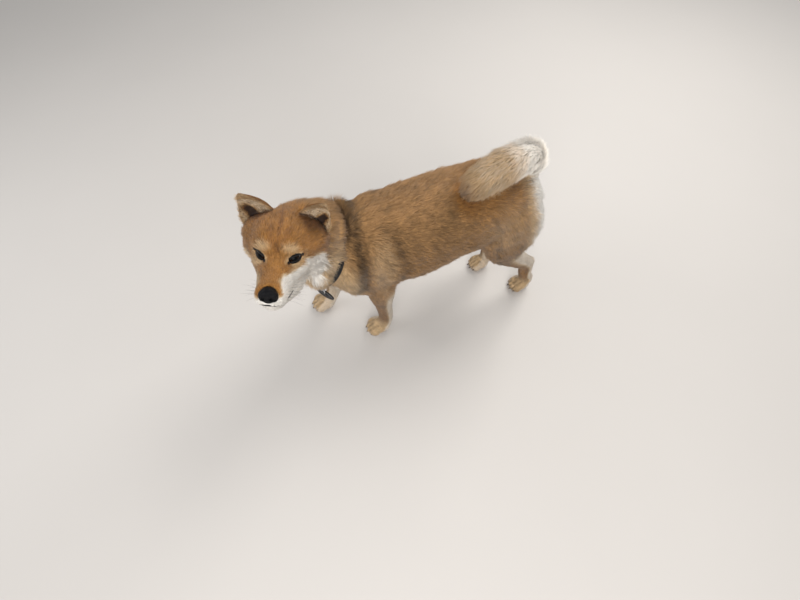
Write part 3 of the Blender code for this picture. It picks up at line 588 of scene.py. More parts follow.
BODY_SIDE_LIE = (
    ((0.086, -0.070, 0.270), (0.082, 0.090, 0.285), 0.034, (0.0, 1.0, -0.28), 0.0150, 0.36, 0.0008, 0.0054),
    ((0.078, -0.060, 0.205), (0.072, 0.070, 0.225), 0.026,
     (-0.1, 1.0, -0.45), 0.0140, 0.33, 0.0008, 0.0046),
    ((0.082, -0.140, 0.300), (0.080, -0.130, 0.200), 0.026,
     (0.0, 0.45, -0.95), 0.0130, 0.34, 0.0008, 0.0044),
    ((0.082, 0.110, 0.310), (0.080, 0.130, 0.225), 0.028, (0.0, 0.40, -0.95), 0.0140, 0.34, 0.0008, 0.0046),
    ((0.040, 0.205, 0.320), (0.046, 0.200, 0.225), 0.026, (0.0, 0.25, -1.0), 0.0200, 0.36, 0.0009, 0.0064),
)

# For each foot: where its leg's hair starts and ends
LEG_LIE = (
    ((0.058, -0.114, 0.170), (0.0495, -0.112, 0.055)), ((-0.058, -0.172, 0.170), (-0.0495, -0.210, 0.055)),
    ((0.050, 0.150, 0.185), (0.043, 0.214, 0.100)), ((-0.050, 0.106, 0.185), (-0.043, 0.166, 0.099)),
)


def lie_of_coat():
    """All stretches in the frame, as rows of numbers."""
    rows = []

    def add(place, turn, side, start, end, reach, way, *sizes):
        ends = (*place(on_side(start, side)), *place(on_side(end, side)))
        rows.append((*ends, reach, *turn(on_side(way, side)), *sizes))

    for place, turn, middle, sides in (
        (in_head, head_way, HEAD_LIE, HEAD_SIDE_LIE), (stood, np.asarray, BODY_LIE, BODY_SIDE_LIE),
    ):
        for table, ways in ((middle, (1,)), (sides, (1, -1))):
            for side in ways:
                for stretch in table:
                    add(place, turn, side, *stretch)
    for foot, ((x, y, size), (top, low)) in enumerate(zip(FEET, LEG_LIE)):
        down = unit(np.subtract(low, top))
        heel, toes = (x, y + 0.012, 0.034), (x, y - 0.022 * size, 0.012)
        add(stood, np.asarray, 1, top, low, 0.022, down, 0.0085, 0.24, 0.0008, 0.0020)
        if foot > 1:
            hock = (x, y + 0.014, 0.034)
            add(stood, np.asarray, 1, low, hock, 0.020, (0.0, -0.1, -1.0), 0.0068, 0.22, 0.0007, 0.0014)
        add(stood, np.asarray, 1, heel, toes, 0.020, (0.0, -0.75, -0.6), 0.0042, 0.20, 0.0006, 0.0007)
    return np.array(rows)


def along_stretch(points, a, b):
    """How far along the stretch from a to b each point lies, 0 to 1, and its distance from it."""
    t = np.clip((points - a) @ (b - a) / ((b - a) @ (b - a)), 0, 1)
    return t, np.linalg.norm(points - a - t[:, None] * (b - a), axis=1)


def read_lie(points):
    """For each point: way of the hair, length, lift, width and depth, blended from the nearest stretches."""
    rows = made.setdefault("lie", lie_of_coat())
    total = np.zeros(len(points))
    way = np.zeros((len(points), 3))
    sizes = np.zeros((len(points), 4))
    for row in rows:
        gap = along_stretch(points, row[:3], row[3:6])[1]
        weight = 1 / (gap / row[6] + 0.05) ** 5
        total += weight
        way += weight[:, None] * unit(row[7:10])
        sizes += weight[:, None] * row[10:14]
    way, sizes = unit(way), sizes / total[:, None]
    share = tail_share(points)
    tail = tail_mask(points, share)[:, None]
    line = np.array(TAIL)[:, :3]
    stations = (np.arange(len(line) - 1) + 0.5) / (len(line) - 1)
    along = unit(np.diff(line, axis=0))
    along = np.stack([np.interp(share, stations, along[:, k]) for k in range(3)], axis=1)
    along = along + np.array((0.12, 0.0, -0.30)) * ease(0.30, 0.55, share)[:, None]
    way = unit(way * (1 - tail) + along * tail)
    blunt = ease(0.80, 0.93, share)[:, None]
    curl, end = np.array((0.0200, 0.32, 0.0009, 0.0)), np.array((0.0150, 0.55, 0.0009, 0.0))
    return way, sizes * (1 - tail) + (curl * (1 - blunt) + end * blunt) * tail


def oval(points, centre, radii, soft):
    """A mask that is 1 inside an ellipsoid and falls off round its surface."""
    gap = np.linalg.norm((points - np.asarray(centre)) / np.asarray(radii), axis=1)
    return 1 - ease(1 - soft, 1 + soft, gap)


# White of the muzzle and cheek in the head's frame: y, its upper edge in z, its inner edge in x
WHITE = np.array([
    (-0.116, -0.0300, 0.0000), (-0.104, -0.0240, 0.0050), (-0.100, -0.0200, 0.0085),
    (-0.092, -0.0130, 0.0110), (-0.076, -0.0100, 0.0150), (-0.062, -0.0098, 0.0205),
    (-0.055, -0.0090, 0.0250), (-0.046, -0.0060, 0.0290), (-0.041, -0.0010, 0.0310),
    (-0.030, 0.0000, 0.0330), (-0.012, -0.0039, 0.0360), (0.006, -0.0104, 0.0390),
    (0.013, -0.0172, 0.0400), (0.030, -0.0400, 0.0400),
])

# Folds of the coat behind the ruff: places along each, reach, depth, darkness; the darkness is painted shade
# in the fold
FOLDS = (
    (((0.004, -0.137, 0.352), (0.031, -0.139, 0.338), (0.050, -0.138, 0.325), (0.067, -0.140, 0.311),
      (0.080, -0.139, 0.286), (0.083, -0.142, 0.255), (0.076, -0.152, 0.222)), 0.0115, 0.0068, 1.0),
    (((0.044, -0.086, 0.342), (0.058, -0.079, 0.328), (0.070, -0.073, 0.312), (0.078, -0.068, 0.294),
      (0.083, -0.067, 0.260), (0.078, -0.072, 0.225)), 0.0100, 0.0034, 0.50),
    (((0.076, 0.090, 0.262), (0.074, 0.122, 0.232), (0.062, 0.152, 0.208)), 0.0090, 0.0022, 0.22),
)


def near_line(points, line):
    """Distance of each point from a line through places."""
    line = np.asarray(line, float)
    return np.min([along_stretch(points, a, b)[1] for a, b in zip(line, line[1:])], axis=0)


def folds(points):
    """Depth of the folds at each point and their darkness, which is painted shade in the folds and in the
    grooves between the toes, the same on both sides.
    """
    p = folded(points - STAND)
    depth, dark = np.zeros(len(p)), np.zeros(len(p))
    for line, reach, deep, much in FOLDS:
        share = 1 - ease(0.0, reach * 1.8, near_line(p, line))
        depth = np.maximum(depth, share * deep)
        dark = np.maximum(dark, share * much)
    p = points - STAND
    # Grooves between the toes, sunk and darkened with painted shade
    for x, y, size in FEET:
        for across in (-0.01005, 0.0, 0.01005):
            a = x + across * size
            line = ((a, y - 0.028 * size, 0.008), (a, y - 0.020 * size, 0.022), (a, y - 0.003, 0.0280))
            share = 1 - ease(0.0004, 0.0036, near_line(p, line))
            depth = np.maximum(depth, share * 0.0026)
            dark = np.maximum(dark, share * 0.9)
    return depth, dark


# Pale spots of the head, laid out for its left side: centre, radii, strength, softness
HEAD_PALE = (
    ((0.0190, -0.0500, 0.0165), (0.0100, 0.0090, 0.0065), 0.36, 0.7),
    ((0.025, -0.050, -0.006), (0.0150, 0.0090, 0.0060), 0.36, 0.6),
)

# Pale spots of the body as it stands, and of both its sides alike: centre, radii, strength, softness
BODY_PALE = (
    ((0.012, -0.232, 0.236), (0.062, 0.040, 0.056), 0.62, 0.25),
    ((0.000, -0.205, 0.170), (0.070, 0.060, 0.034), 0.66, 0.25),
    ((0.030, -0.225, 0.292), (0.062, 0.040, 0.050), 0.45, 0.25),
    ((0.000, 0.225, 0.275), (0.100, 0.090, 0.125), 1.0, 0.25),
    ((0.000, 0.208, 0.225), (0.060, 0.028, 0.050), 0.80, 0.25),
)
SIDE_PALE = (
    # The first spot is a painted highlight: the paler ridge of the shoulder between the two folds behind the
    # ruff
    ((0.078, -0.108, 0.275), (0.034, 0.020, 0.070), 0.24, 0.5),
    ((0.074, -0.176, 0.245), (0.030, 0.028, 0.052), 0.40, 0.5),
    ((0.076, 0.125, 0.295), (0.040, 0.050, 0.050), 0.14, 0.5),
    ((0.056, -0.196, 0.196), (0.036, 0.036, 0.030), 0.72, 0.4),
)

# Rust spots of the back: centre, radii, strength
BACK_RUST = (
    ((0.045, 0.048, 0.362), (0.040, 0.026, 0.030), 0.62),
    ((0.030, 0.100, 0.350), (0.060, 0.060, 0.040), 0.35),
)

# Dark strokes of the face: places along each, full strength and none at these distances, strength
BROW = (((0.001, -0.055, 0.012), (0.000, -0.040, 0.034), (-0.002, -0.018, 0.048), (-0.006, 0.020, 0.050)),
        0.0012, 0.0048, 0.34)
SIDE_STROKES = (
    (((0.003, -0.052, 0.016), (0.010, -0.046, 0.027), (0.014, -0.034, 0.037)), 0.002, 0.007, 0.26),
    (((0.0150, -0.0590, -0.003), (0.0110, -0.068, -0.006)), 0.001, 0.004, 0.20),
)


def head_white(h, uneven, on_head):
    """The white of muzzle, cheek, chin and lip, from places in the head's frame."""
    wide = np.abs(h[:, 0] + 0.0015)
    sides = np.c_[wide, h[:, 1], h[:, 2]]
    top, inner_edge = (np.interp(h[:, 1], WHITE[:, 0], WHITE[:, k]) for k in (1, 2))
    right = ease(0.004, -0.004, h[:, 0])
    top, inner_edge = top - 0.0050 * right, inner_edge + 0.0035 * right
    low = -0.0300 - h[:, 2]
    hem = np.maximum(np.minimum(wide - inner_edge, top - h[:, 2]), low)
    behind = 0.004 - 0.48 * np.minimum(h[:, 2] + 0.020, 0) + 0.003 * uneven
    hem = np.minimum(hem, behind - h[:, 1])
    white = ease(-0.0022, 0.0026, hem + 0.0012 * uneven)
    chin = ease(-0.040, -0.046, h[:, 2]) * ease(0.020, 0.004, h[:, 1])
    lip = ease(-0.033, -0.036, h[:, 2]) * ease(-0.096, -0.101, h[:, 1])
    pale = np.maximum(white * (1 - 0.50 * right * ease(-0.036, -0.020, h[:, 2])), chin)
    pale = np.maximum(pale, lip) * on_head
    for centre, radii, much, soft in HEAD_PALE:
        pale = np.maximum(pale, much * on_head * oval(sides, centre, radii, soft))
    return np.maximum(pale, 0.50 * oval(sides, (0.056, 0.026, -0.036), (0.028, 0.026, 0.050), 0.45))


def eye_corners(points):
    """1 on the dark corners of both eyes, in the plane of each opening."""
    corner = np.zeros(len(points))
    for s in (1, -1):
        centre, gaze, right, up = eye_frame(s)
        d = points - centre
        close = (d @ gaze > 0) * (np.linalg.norm(d, axis=1) < 0.022)
        for way, drop in ((s, 0.0004), (-s, -0.0016)):
            gap = near_line(np.c_[d @ right, d @ up], ((way * 0.0080, 0.0), (way * 0.0140, drop)))
            corner = np.maximum(corner, close * (1 - ease(0.0016, 0.0036, gap)))
    return corner


def coat_masks(points, normals):
    """Pale, rust and dark-tip masks of the markings at each point; the pale mask holds a painted highlight on
    the shoulder, and the dark-tip mask painted shade in the folds, between the toes, on the lower legs and
    low on the thighs.
    """
    h = to_head(points)
    p = points - STAND
    even = folded(p)
    height = p[:, 2]
    uneven = ripple(points, 0.016, 41)
    on_head = oval(h, (0, -0.030, -0.020), (0.080, 0.104, 0.102), 0.12)
    tail = tail_share(points)
    on_tail = tail_mask(points, tail)
    corner = eye_corners(points)

    pale = head_white(h, uneven, on_head)
    pale = np.maximum(pale, 0.38 * np.clip(near_eye(points)[0], 0, 1) ** 2)
    for places, spots in ((p, BODY_PALE), (even, SIDE_PALE)):
        for centre, radii, much, soft in spots:
            pale = np.maximum(pale, much * oval(places, centre, radii, soft))
    belly = ease(0.45, 0.9, -normals[:, 2]) * ease(-0.19, -0.13, p[:, 1])
    belly = belly * ease(0.14, 0.16, height) * ease(0.245, 0.21, height)
    inner = ease(0.1, 0.6, -normals[:, 0] * np.sign(p[:, 0])) * ease(0.215, 0.19, height)
    back_edge = ease(-0.05, 0.30, normals[:, 1]) * ease(0.20, 0.17, height)
    feet = ease(0.062, 0.030, height)
    for much, here in ((0.75, belly), (0.66, inner), (0.76, back_edge), (0.46, feet)):
        pale = np.maximum(pale, much * here)
    tail_pale = 0.18 + 0.38 * ease(0.94, 0.70, tail) + 0.44 * ease(0.58, 0.42, tail)
    pale = pale * (1 - on_tail) + tail_pale * on_tail

    gold = 0.50 * on_head * ease(0.020, -0.010, h[:, 1]) * (1 - pale)
    rust = np.maximum(gold, 0.22 * on_head)
    strokes = [(1, *BROW)] + [(s, *stroke) for s in (1, -1) for stroke in SIDE_STROKES]
    for s, line, full, none, much in strokes:
        gap = near_line(h, [on_side(place, s) for place in line])
        rust = np.maximum(rust, on_head * (0.5 + much * (1 - ease(full, none, gap))))
    pale *= 1 - corner
    rust *= 1 - np.clip(pale * 1.6, 0, 1)
    rust = np.maximum(rust, corner)
    for centre, radii, much in BACK_RUST:
        rust = np.maximum(rust, much * oval(p, centre, radii, 0.6) * (1 - on_tail))
    rust = np.maximum(rust, 0.20 * on_tail * ease(0.74, 0.90, tail))
    leg = ease(0.185, 0.140, height) * ease(0.036, 0.060, height) * (1 - np.clip(pale * 1.4, 0, 1))
    rust = np.maximum(rust, 0.26 * leg)

    saddle = ease(0.19, 0.33, height) * ease(-0.165, -0.125, p[:, 1])
    saddle *= 1 - 0.75 * oval(p, (0.082, -0.135, 0.250), (0.040, 0.030, 0.080), 0.5)
    dark = (0.16 + 0.30 * saddle + 0.10 * uneven) * (1 - np.clip(pale * 1.3, 0, 1)) * (1 - 0.65 * on_head)
    # Painted shade: darker tips low on the thighs and down the lower legs and feet
    dark += 0.42 * oval(even, (0.062, 0.150, 0.205), (0.038, 0.050, 0.044), 0.5)
    dark += 0.30 * ease(0.185, 0.110, height) * (1 - 0.5 * pale)
    # Painted shade of the folds and the toe grooves darkens the tips there
    dark = np.maximum(dark, np.maximum(folds(points)[1], corner))
    dark = dark * (1 - on_tail) + on_tail * (0.16 * ease(0.50, 0.62, tail) + 0.30 * ease(0.88, 0.98, tail))
    return np.clip(np.c_[pale, rust, dark], 0, 1)


def tail_mask(points, share):
    """1 on the curl of the tail, which lies above the back."""
    p = points - STAND
    radius = np.interp(share, np.linspace(0, 1, len(TAIL)), [row[3] for row in TAIL])
    gap = near_line(p, np.array(TAIL)[:, :3])
    return (1 - ease(0.95, 1.15, gap / radius)) * ease(0.10, 0.16, share) * (p[:, 2] > 0.3535)


def tail_share(points):
    """How far along the tail each point lies, 0 at the root and 1 at the tip."""
    line = stood(np.array(TAIL)[:, :3])
    best = np.full(len(points), 1e9)
    share = np.zeros(len(points))
    for i, (a, b) in enumerate(zip(line, line[1:])):
        t, gap = along_stretch(points, a, b)
        nearer = gap < best
        share = np.where(nearer, (i + t) / (len(line) - 1), share)
        best = np.minimum(best, gap)
    return share


# Skin


def smooth_path(rows, count):
    """Catmull-Rom samples through rows of numbers."""
    rows = np.array(rows, float)
    padded = np.vstack([2 * rows[0] - rows[1], rows, 2 * rows[-1] - rows[-2]])
    samples = []
    for t in np.linspace(0, len(rows) - 1, count):
        i = min(int(t), len(rows) - 2)
        f = t - i
        a, b, c, d = padded[i : i + 4]
        samples.append(0.5 * (2 * b + (c - a) * f + (2 * a - 5 * b + 4 * c - d) * f**2
                              + (3 * b - a - 3 * c + d) * f**3))
    return np.array(samples)


def tube(points, radii, sides, across, flat=1.0):
    """A closed tube through points; flat scales its depth against its width."""
    points = np.asarray(points, float)
    along = unit(np.gradient(points, axis=0))
    side = unit(np.cross(along, np.asarray(across, float)))
    deep = np.cross(along, side)
    turn = np.linspace(0, 2 * math.pi, sides, endpoint=False)
    radii = np.asarray(radii)[:, None, None]
    places = (
        points[:, None]
        + side[:, None] * np.cos(turn)[None, :, None] * radii
        + deep[:, None] * np.sin(turn)[None, :, None] * radii * flat
    )
    mesh = bmesh.new()
    rings = [[mesh.verts.new(v) for v in ring] for ring in places]
    return join_rings(mesh, rings, (rings[0][::-1], rings[-1]))


CORE_SHARES = (0.9, 0.88, 0.80, 0.77, 0.78, 0.80, 0.75)
PLUG = ((-0.016, 0.80), (-0.009, 0.93), (0.0, 0.955), (0.009, 0.93), (0.016, 0.80))


def flesh_mesh():
    """The flesh nodes swollen a hair so that their cuts close, with a plain core for the tail."""
    whole = bmesh.new()
    for name in FLESH:
        if name == "tail_brush":
            continue
        part = merged_copy(name)
        part.normal_update()
        for v in part.verts:
            v.co += v.normal * 0.0004
        pour(whole, part)
    rows = smooth_path([(x, y, z, r * share) for (x, y, z, r), share in zip(TAIL, CORE_SHARES)], 40)
    core = tube(stood(rows[:, :3]), rows[:, 3], 16, (1, 0, 0))
    plug = bmesh.new()
    rings = []
    for level, share in PLUG:
        inward = -0.066 * (1 - share)
        rings.append([plug.verts.new(collar_point(2 * math.pi * k / 48, inward, level)) for k in range(48)])
    join_rings(plug, rings, (rings[0][::-1], rings[-1]))
    pour(whole, core)
    pour(whole, plug)
    return whole


def eye_frame(side):
    """Centre, outward, sideways and upward ways of an eye's opening."""
    gaze = unit(head_way(on_side(EYE_GAZE, side)))
    centre = in_head(on_side(EYE, side))
    up = head_way((0, 0, 1))
    up = unit(up - gaze * (up @ gaze))
    right = np.cross(up, gaze)
    c, s = math.cos(EYE_SLANT * side), math.sin(EYE_SLANT * side)
    return centre, gaze, right * c + up * s, up * c - right * s


def near_eye(points):
    """How near each point is to an eye's opening, up to 1 round it and 2 inside it, and the way out."""
    close = np.zeros(len(points))
    out = np.zeros((len(points), 3))
    for side in (1, -1):
        centre, gaze, right, up = eye_frame(side)
        d = points - centre
        u, v, w = d @ right, d @ up, d @ gaze
        gap = np.hypot(u / EYE_OPENING[0], v / EYE_OPENING[1])
        far = np.linalg.norm(d, axis=1)
        here = (1 - ease(1.0, 1.9, gap)) * (w > 0) * (far < 0.03)
        out += here[:, None] * unit(right[None] * u[:, None] + up[None] * v[:, None] * 1.5)
        close = np.maximum(close, np.where(gap < 0.96, 2.0, here) * (w > 0) * (far < 0.024))
    return close, out


class DOG_OT_skin(bpy.types.Operator):
    """One skin in place of the nodes of flesh, a coat's depth inside them"""

    bl_idname = "dog.skin"
    bl_label = "Skin"

    def execute(self, context):
        obj = remeshed(from_bmesh("skin", flesh_mesh()), settings().skin_voxel, 3)
        mesh = obj.data
        count = len(mesh.vertices)
        need(count > 5000, "the skin has too few points")
        points, normals = read_points(mesh)
        way, sizes = read_lie(points)
        edges = read_list(mesh.edges, "vertices", 2, np.int32)
        depth = sizes[:, 3]
        degree = np.bincount(edges.ravel(), minlength=count).astype(float)[:, None]

        def averaged(values):
            total = np.zeros_like(values)
            np.add.at(total, edges[:, 0], values[edges[:, 1]])
            np.add.at(total, edges[:, 1], values[edges[:, 0]])
            return total / degree

        soft = normals.copy()
        for _ in range(6):
            soft = unit(averaged(soft) + soft)
        fold = folds(points)[0]
        waves = 0.0011 * ripple(points, 0.034, 77) * ease(0.0030, 0.0050, depth)
        points = points + soft * (waves - fold)[:, None]
        sunk = points - soft * depth[:, None]
        body_share = ease(0.002, 0.005, depth)[:, None]
        for _ in range(6):
            sunk += (averaged(sunk) - sunk) * 0.5 * body_share
        mesh.vertices.foreach_set("co", sunk.astype(np.float32).ravel())
        mesh.update()
        masks = coat_masks(points, soft)
        point_values(mesh, "masks", masks)
        # Painted shade: the skin is coloured as hair near its root, so the painted root shade darkens it
        # between the tufts.
        point_values(mesh, "along", np.full(count, 0.25))
        point_values(mesh, "shade", np.clip(0.5 + 0.3 * ripple(points, 0.02, 5), 0, 1))
        mesh.shade_smooth()
        unwrap(obj)
        finish_piece(obj, coat_material("skin under the coat", 0.60, 0.85), "red_coat", *FLESH)
        made["skin"] = field(obj, points, soft, masks)
        return {"FINISHED"}


def unwrap(obj):
    """Lays the mesh out in the bake map."""
    bpy.context.view_layer.objects.active = obj
    obj.select_set(True)
    obj.data.uv_layers.new(name="OFBake")
    bpy.ops.object.mode_set(mode="EDIT")
    bpy.ops.mesh.select_all(action="SELECT")
    bpy.ops.uv.smart_project(angle_limit=math.radians(66), island_margin=0.002)
    bpy.ops.object.mode_set(mode="OBJECT")
    obj.select_set(False)


def read_list(items, field_name, width, kind=np.float32):
    """What a collection of a mesh holds, as rows of numbers."""
    values = np.empty(len(items) * width, kind)
    items.foreach_get(field_name, values)
    return values.reshape(-1, width)


def read_points(mesh):
    """The points of a mesh and their normals."""
    points = read_list(mesh.vertices, "co", 3).astype(float)
    return points, read_list(mesh.vertex_normals, "vector", 3).astype(float)


def field(obj, outer, normals, masks):
    """The arrays of a skin from which tufts grow."""
    mesh = obj.data
    mesh.calc_loop_triangles()
    loops = read_list(mesh.loop_triangles, "loops", 3, np.int32)
    return {
        "object": obj, "points": read_points(mesh)[0], "outer": outer, "normals": normals, "masks": masks,
        "corners": read_list(mesh.loop_triangles, "vertices", 3, np.int32),
        "uv": read_list(mesh.uv_layers["OFBake"].data, "uv", 2)[loops],
    }


# Coat


def region_names(points, tail):
    """The coat piece that each point belongs to."""
    h = to_head(points)
    p = points - STAND
    name = np.full(len(points), "coat_back", dtype=object)
    low = p[:, 2] < 0.20
    for part, here in (
        ("flank", p[:, 2] < 0.315), ("rump", (p[:, 1] > 0.06) & (p[:, 2] < 0.35)),
        ("fore", low & (p[:, 1] < 0.0)), ("hind", low & (p[:, 1] >= 0.0)),
    ):
        name[here & (p[:, 0] >= 0)] = f"coat_{part}_left"
        name[here & (p[:, 0] < 0)] = f"coat_{part}_right"
    name[(p[:, 1] < -0.135) & (p[:, 2] > 0.185)] = "coat_breast"
    name[(tail > 0.27) & (p[:, 1] > 0.02) & (p[:, 2] > 0.3525)] = "coat_tail"
    reach = h @ unit(np.array([0.62, 0.77, -0.12]))
    round_head = np.linalg.norm(points - in_head((0, -0.03, -0.01)), axis=1) < 0.115
    head = (reach < 0.062) & round_head & (p[:, 2] > 0.255)
    name[head] = "coat_crown"
    face = head & (h[:, 1] < -0.014) & (h[:, 2] < 0.040)
    name[face & (h[:, 0] >= 0)] = "coat_face_left"
    name[face & (h[:, 0] < 0)] = "coat_face_right"
    name[p[:, 2] < 0.036] = "coat_feet"
    return name


TUFTS = 236000
MOST = 33000
EAR_TUFTS = 7500
CLUMP_PRIMES = (73856093, 19349663, 83492791)


def tuft_total(full):
    """The number of tufts to grow, by the coat's density."""
    return full * settings().thickness * 1.0


def tufts(name, skin, index, count, seed):
    """Tufts that grow from the given triangles of a skin, as one mesh with its bake map."""
    rng = np.random.default_rng(seed)
    chance = skin["weight"][index]
    pick = rng.choice(len(index), size=count, p=chance / chance.sum())
    w = rng.dirichlet((1, 1, 1), size=count)
    tri = skin["corners"][index[pick]]

    def at(values):
        return np.einsum("ni,ni...->n...", w, values[tri])

    root, outer, normal = at(skin["points"]), at(skin["outer"]), unit(at(skin["normals"]))
    masks = at(skin["masks"])
    masks = np.clip(masks + rng.normal(0, 0.05, (count, 1)) * (masks > 0.02), 0, 1)
    sizes, out = at(skin["sizes"]), at(skin["out"])
    length = sizes[:, 0] * rng.uniform(0.72, 1.18, count) * (1 - 0.5 * np.clip(at(skin["near"]), 0, 1))
    lift = sizes[:, 1] * (1 + 0.28 * ripple(root, 0.018, 21)) * rng.uniform(0.7, 1.3, count)
    way = unit(at(skin["way"]))
    turned = 0.16 * ripple(root, 0.026, 31) + 0.10 * ripple(root, 0.009, 33) + rng.normal(0, 0.13, count)
    way = way + np.cross(normal, way) * turned[:, None] + out * 0.9
    way = unit(way - normal * np.sum(way * normal, axis=1)[:, None])
    cell = 0.001 * 2.0 ** np.round(np.log2(length[:, None] * 0.30 / 0.001))
    box = np.floor(outer / cell)
    pull = (box + 0.5) * cell - outer
    pull -= normal * np.sum(pull * normal, axis=1)[:, None]
    key = np.bitwise_xor.reduce(box.astype(np.int64) * CLUMP_PRIMES, axis=1)
    clump = (key % 1009) / 1009.0
    across = np.cross(normal, way)
    width = sizes[:, 2] * rng.uniform(0.75, 1.25, count)
    tilt = np.clip(lift, 0.05, 0.9)
    length, tilt, width = length[:, None], tilt[:, None], width[:, None]
    middle = root + (way * 0.38 + normal * tilt * 0.62) * length + pull * 0.15
    tip = root + (way * np.sqrt(1 - tilt**2) + normal * tilt) * length + pull * 0.5
    spin = np.stack([across, -across, normal * 0.55], axis=1)
    points = np.concatenate(
        [(root - normal * 0.0006)[:, None], middle[:, None] + spin * width[:, None] / 2, tip[:, None]], axis=1
    )
    points[:, :, 2] = np.maximum(points[:, :, 2], 0.0002)
    face = np.array([(0, 1, 2), (0, 2, 3), (0, 3, 1), (4, 2, 1), (4, 3, 2), (4, 1, 3)])
    if np.einsum("i,i->", np.cross(points[0, 1] - points[0, 0], points[0, 2] - points[0, 0]),
                 points[0, 3] - points[0, 0]) > 0:
        face = face[:, ::-1]
    faces = (np.arange(count)[:, None, None] * 5 + face[None]).reshape(-1, 3)
    obj = mesh_object(name, points.reshape(-1, 3), faces)
    mesh = obj.data
    point_values(mesh, "masks", np.repeat(masks, 5, axis=0))
    point_values(mesh, "along", np.tile(np.array([0, 0.4, 0.4, 0.45, 1.0]), count))
    shade = 0.52 * clump + 0.24 * rng.uniform(0, 1, count) + 0.24 * (0.5 + 0.5 * ripple(root, 0.030, 7))
    # Painted shade: tufts whose tips lie over a fold are darker
    shade -= 0.78 * folds(outer + way * length * 0.6)[1]
    curl = tail_mask(outer, tail_share(outer))
    # Painted light: the tail's curl and the white hair are brightened
    shade += 0.20 * curl + 0.24 * masks[:, 0] ** 2
    # Painted shade: darker on the lower legs and low on the thighs
    p = folded(outer - STAND)
    leg = ease(0.200, 0.130, p[:, 2]) * ease(0.018, 0.050, p[:, 2])
    thigh = oval(p, (0.062, 0.150, 0.205), (0.040, 0.052, 0.046), 0.5)
    shade -= (0.30 * leg + 0.34 * thigh) * (1 - 0.6 * masks[:, 0])
    point_values(mesh, "shade", np.repeat(np.clip(shade, -0.20, 1.25), 5))
    side = across[:, None] * np.array((0.0, 0.60, -0.60, 0.0, 0.0))[None, :, None]
    loose = curl[:, None, None]

    def leaning(body, tail):
        return (np.array(body) * (1 - loose) + np.array(tail) * loose).reshape(-1, 5, 1)

    onward = leaning((0.0, 0.15, 0.15, 0.0, 1.0), (-0.2, 0.5, 0.5, 0.2, 1.0))
    upward = leaning((1.0, 0.65, 0.65, 1.0, 0.40), (0.2, 0.0, 0.0, 1.0, 0.0))
    soft = unit(upward * normal[:, None] + side + onward * way[:, None])
    mesh.normals_split_custom_set_from_vertices(soft.reshape(-1, 3).tolist())
    root_uv = np.einsum("ni,nij->nj", w, skin["uv"][index[pick]])
    patch = np.array([[0.5, 0], [0, 0.4], [1, 0.4], [0.5, 0.5], [0.5, 1]]) - 0.5
    uv = (root_uv[:, None] + patch[None] * 0.003).reshape(-1, 2)[faces.reshape(-1)]
    layer = mesh.uv_layers.new(name="OFBake")
    layer.data.foreach_set("uv", np.clip(uv, 0.0005, 0.9995).astype(np.float32).ravel())
    return obj


def weigh(skin):
    """Sets how many tufts each triangle of a skin should have, by area and size of its hair."""
    corners = skin["corners"]
    a, b, c = (skin["points"][corners[:, i]] for i in range(3))
    area = np.linalg.norm(np.cross(b - a, c - a), axis=1) / 2
    sizes = skin["sizes"][corners[:, 0]]
    skin["weight"] = area / (sizes[:, 0] * sizes[:, 2]) ** 0.6
    skin["weight"] *= 0.45 + 0.55 * ease(0.02, 0.21, skin["points"][corners[:, 0], 2])
    skin["weight"] *= skin["bare"][corners].max(axis=1) < 0.999


def lower_part(x, y):
    """1 on the lower left stretch of the collar that shows below the ruff."""
    reach = np.maximum(np.hypot(x, y), 1e-6)
    return ease(0.50, 0.34, y / reach) * ease(0.15, 0.35, x / reach)


def clear_collar(points, way, sizes, roots):
    """Lays the ruff over the collar's upper part and keeps its lower part and the tag free.

    Gives the ways, the sizes and how much of each point's hair covers the collar.
    """
    side, up = (np.array(axis) for axis in collar_frame())
    facing, centre = np.array(COLLAR_FACING), np.array(COLLAR_MIDDLE)
    d = points - centre
    ahead, x, y = d @ facing, d @ side, d @ up
    ring = np.abs(np.hypot(x / COLLAR_HALF[0], y / COLLAR_HALF[1]) - 1) < 0.35
    low = lower_part(x, y)
    before = ring * ease(-0.003, 0.004, ahead) * ease(0.034, 0.014, ahead)
    way = unit(way * (1 - before[:, None]) - facing * before[:, None])
    sizes = sizes.copy()
    d = roots - centre
    sunk = 1 - np.hypot(d @ side / COLLAR_HALF[0], d @ up / COLLAR_HALF[1])
    reach = np.clip(ahead + 0.0020, 0.0055, 0.0300)
    top = ease(0.2, 0.7, y / np.maximum(np.hypot(x, y), 1e-6))
    length = 0.0240 - 0.0070 * top
    length += low * (np.minimum(reach, 0.0160) - length)
    rise = np.clip(0.0035 + sunk * COLLAR_HALF[0], 0.0030, 0.0170)
    steep = 0.76 - 0.44 * top
    sizes[:, 0] += before * (length - sizes[:, 0])
    sizes[:, 1] += before * (np.clip(rise / length, 0.15, steep) - sizes[:, 1])
    shown = (ring * low > 0.3) & (ahead > 0.003)
    sizes[:, 0] = np.where(shown, np.minimum(sizes[:, 0], reach), sizes[:, 0])
    near_tag = 1 - ease(0.018, 0.032, np.linalg.norm(points - np.array(made["tag_place"]), axis=1))
    beside = ring * low * ease(-0.010, -0.004, ahead) * ease(0.008, 0.002, ahead)
    free = np.maximum(near_tag, beside * 0.9)
    sizes[:, 0] *= 1 - 0.55 * free
    sizes[:, 1] *= 1 - 0.60 * free
    return way, sizes, before


